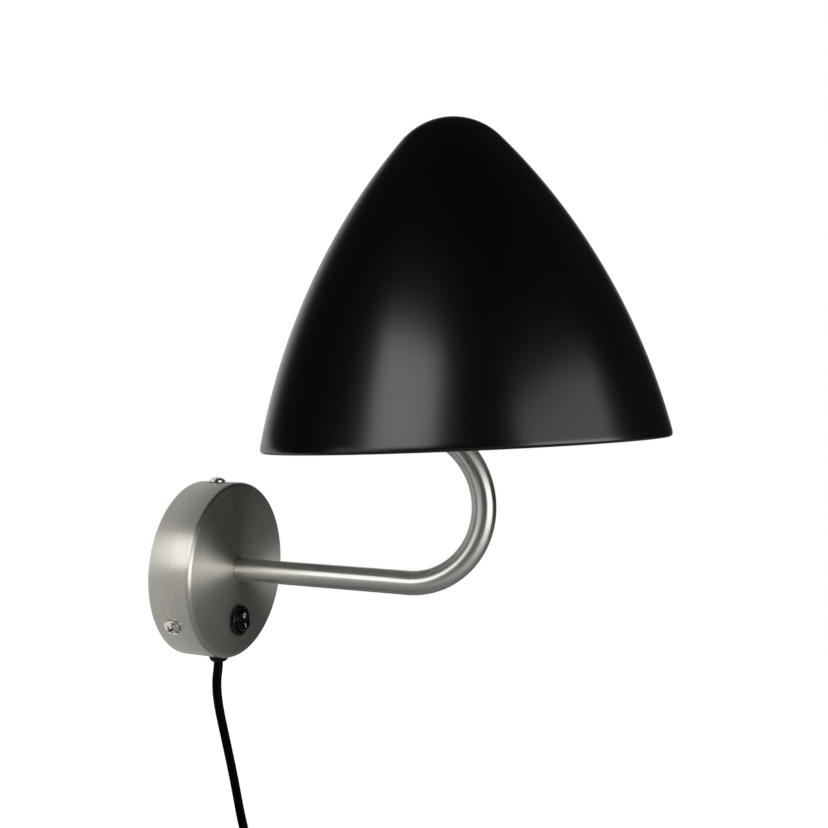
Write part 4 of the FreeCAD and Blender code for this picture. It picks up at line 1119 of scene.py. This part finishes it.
# Pins with a rubber shank and a rounded metal end
def makePlugPins():
    rim = (pin["radius"] - pin["tip"], pin["length"] - pin["tip"])
    profile = [(0, -pin["rootDepth"]), (pin["root"], -pin["rootDepth"]), (pin["root"], 0),
               (pin["shank"], 0), (pin["shank"], pin["shankLength"]),
               (pin["radius"], pin["shankLength"])]
    metalFrom = len(profile) - 2
    profile += arc(rim, pin["tip"], 0, 90, pin["tipSteps"])
    profile.append((0, pin["length"]))
    pins = []
    for name, side in (("plugPinLeft", -0.5), ("plugPinRight", 0.5)):
        spot = Vector(plug["place"]) + up * plugFace + sideways * (side * pin["spacing"])
        piece = lathe(name, profile, [plugRubber, nickelPlate], standing(spot, -up),
                      pin["segments"], metalFrom)
        pins.append(mounted(piece, "lamp_base", "nickel"))
    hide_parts("plug_pins")
    return pins


plugPieces = [makePlugBody(), makePlugRelief()] + makePlugPins()
print("plug made")


# Materials of the pieces kept from the frame
nodeMaterials = {
    canopySteel: ("canopy_cover",),
    zincSteel: ("wall_plate", "arm_washer", "arm_nut", "arm_nipple", "holder_nipple",
                "holder_nuts", "swivel_nut", "friction_washer", "shade_spider", "block_screw",
                "terminal_screws"),
    nickelPlate: ("swivel_lower", "swivel_upper", "swivel_screw", "arm_end_plug", "arm_boss",
                  "bulb_cap"),
    brassMetal: ("switch_tabs", "terminal_sleeves", "holder_shell"),
    blockPlastic: ("terminal_block", "holder_insert"),
    holderPlastic: ("holder_base", "holder_body", "shade_rings"),
    leadSheath: ("supply_leads", "switch_lead", "arm_leads", "holder_leads"),
    plugRubber: ("coil_tie",),
    opalGlass: ("bulb_globe",),
}


def dressNodes():
    for material, names in nodeMaterials.items():
        for name in names:
            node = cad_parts[name]
            node.data.materials.clear()
            node.data.materials.append(material)


dressNodes()
print("nodes dressed")


# Studio: white floor and background, four soft boxes, a card on the wall, dark ceiling
studio = {
    "floorLevel": -0.33,
    "floorRadius": 1.3,
    "floorColour": grey(0.34),
    "floorGlow": 0.95,
    "middle": (0.0, -0.13, 0.08),
    "distance": 1.4,
    "ambient": 0.35,
    "dark": 0.02,
    "patchTowards": (0.89, 0.455, -0.02),
    "patchInner": 13.0,
    "patchOuter": 37.0,
    "patchGlow": 1.0,
    "cardRadius": 0.088,
    "cardGlow": 0.7,
    "discSegments": 96,
}
# Azimuth is measured from -X towards -Y
softBoxes = {
    "leftBox": {"azimuth": -15.0, "elevation": 24.0, "width": 0.85, "height": 0.94, "power": 8.8},
    "frontBox": {"azimuth": 74.0, "elevation": 21.0, "width": 1.35, "height": 0.55, "power": 3.7},
    "lowLeftBox": {"azimuth": -35.0, "elevation": -12.0, "width": 0.8, "height": 1.1, "power": 2.3},
    "lowFrontBox": {"azimuth": 75.0, "elevation": -4.0, "width": 1.3, "height": 0.55, "power": 10.0},
}


def addDisc(name, radius, matrix, material):
    bm = bmesh.new()
    bmesh.ops.create_circle(bm, cap_ends=True, segments=studio["discSegments"], radius=radius,
                            matrix=matrix)
    disc = newPiece(name, bm, [material])
    return disc


# Paper floor, clear from underneath so that the lamp can be looked at from below
def makeFloor():
    material, tree, surface = emptyMaterial("floorPaper")
    paper = put(tree, "ShaderNodeBsdfDiffuse", {"Color": studio["floorColour"]}).outputs[0]
    seen = put(tree, "ShaderNodeLightPath").outputs["Is Camera Ray"]
    strength = mathOf(tree, "MULTIPLY", seen, studio["floorGlow"])
    glow = put(tree, "ShaderNodeEmission", {"Strength": strength}).outputs[0]
    both = put(tree, "ShaderNodeAddShader", {0: paper, 1: glow}).outputs[0]
    underneath = put(tree, "ShaderNodeNewGeometry").outputs["Backfacing"]
    clear = put(tree, "ShaderNodeBsdfTransparent").outputs[0]
    oneSided = put(tree, "ShaderNodeMixShader", {0: underneath, 1: both, 2: clear})
    tree.links.new(oneSided.outputs[0], surface)
    level = moved(up * studio["floorLevel"])
    floor = addDisc("floorPlane", studio["floorRadius"], level, material)
    if floor.data.polygons[0].normal.z < 0:
        floor.data.flip_normals()


# White card on the wall behind the canopy, seen only in the metal
def makeCard():
    material, tree, surface = emptyMaterial("cardPaper")
    glow = put(tree, "ShaderNodeEmission", {"Strength": studio["cardGlow"]})
    tree.links.new(glow.outputs[0], surface)
    card = addDisc("wallCard", studio["cardRadius"], standing(out * -mm, out), material)
    card.visible_camera = False
    card.visible_diffuse = False
    card.visible_transmission = False
    card.visible_shadow = False


# White for the camera, an even light on matt surfaces, and for gloss a dark room with one
# pale patch far behind the lamp
def makeWorld():
    world = bpy.data.worlds.new("studioWorld")
    scene.world = world
    world.use_nodes = True
    tree = world.node_tree
    tree.nodes.clear()
    output = tree.nodes.new("ShaderNodeOutputWorld")
    generated = put(tree, "ShaderNodeTexCoord").outputs["Generated"]
    towards = Vector(studio["patchTowards"]).normalized()
    facing = vectorMath(tree, "DOT_PRODUCT", generated, towards)["Value"]
    inner = math.cos(math.radians(studio["patchInner"]))
    outer = math.cos(math.radians(studio["patchOuter"]))
    glow = spanned(tree, facing, outer, inner, 0.0, studio["patchGlow"])
    seen = mathOf(tree, "MAXIMUM", glow, studio["dark"])
    path = put(tree, "ShaderNodeLightPath").outputs
    direct = mathOf(tree, "MAXIMUM", path["Is Camera Ray"], path["Is Transmission Ray"])
    mirror = mathOf(tree, "MULTIPLY", path["Is Glossy Ray"], seen)
    matt = mathOf(tree, "SUBTRACT", 1.0, path["Is Glossy Ray"])
    plain = mathOf(tree, "MULTIPLY", matt, studio["ambient"])
    light = mathOf(tree, "MAXIMUM", mathOf(tree, "ADD", mirror, plain), direct)
    background = put(tree, "ShaderNodeBackground", {"Color": grey(1), "Strength": light})
    tree.links.new(background.outputs[0], output.inputs["Surface"])


def addSoftBox(name, box):
    data = bpy.data.lights.new(name, "AREA")
    data.shape = "RECTANGLE"
    data.size = box["width"]
    data.size_y = box["height"]
    data.energy = box["power"]
    lamp = addObject(name, data)
    azimuth = math.radians(box["azimuth"])
    elevation = math.radians(box["elevation"])
    direction = Vector((-math.cos(azimuth) * math.cos(elevation),
                        -math.sin(azimuth) * math.cos(elevation), math.sin(elevation)))
    lamp.location = Vector(studio["middle"]) + direction * studio["distance"]
    lamp.rotation_euler = direction.to_track_quat("Z", "Y").to_euler()
    lamp.visible_camera = False


makeFloor()
makeCard()
makeWorld()
for boxName, boxLook in softBoxes.items():
    addSoftBox(boxName, boxLook)
scene.view_settings.view_transform = "Standard"
print("studio lit")
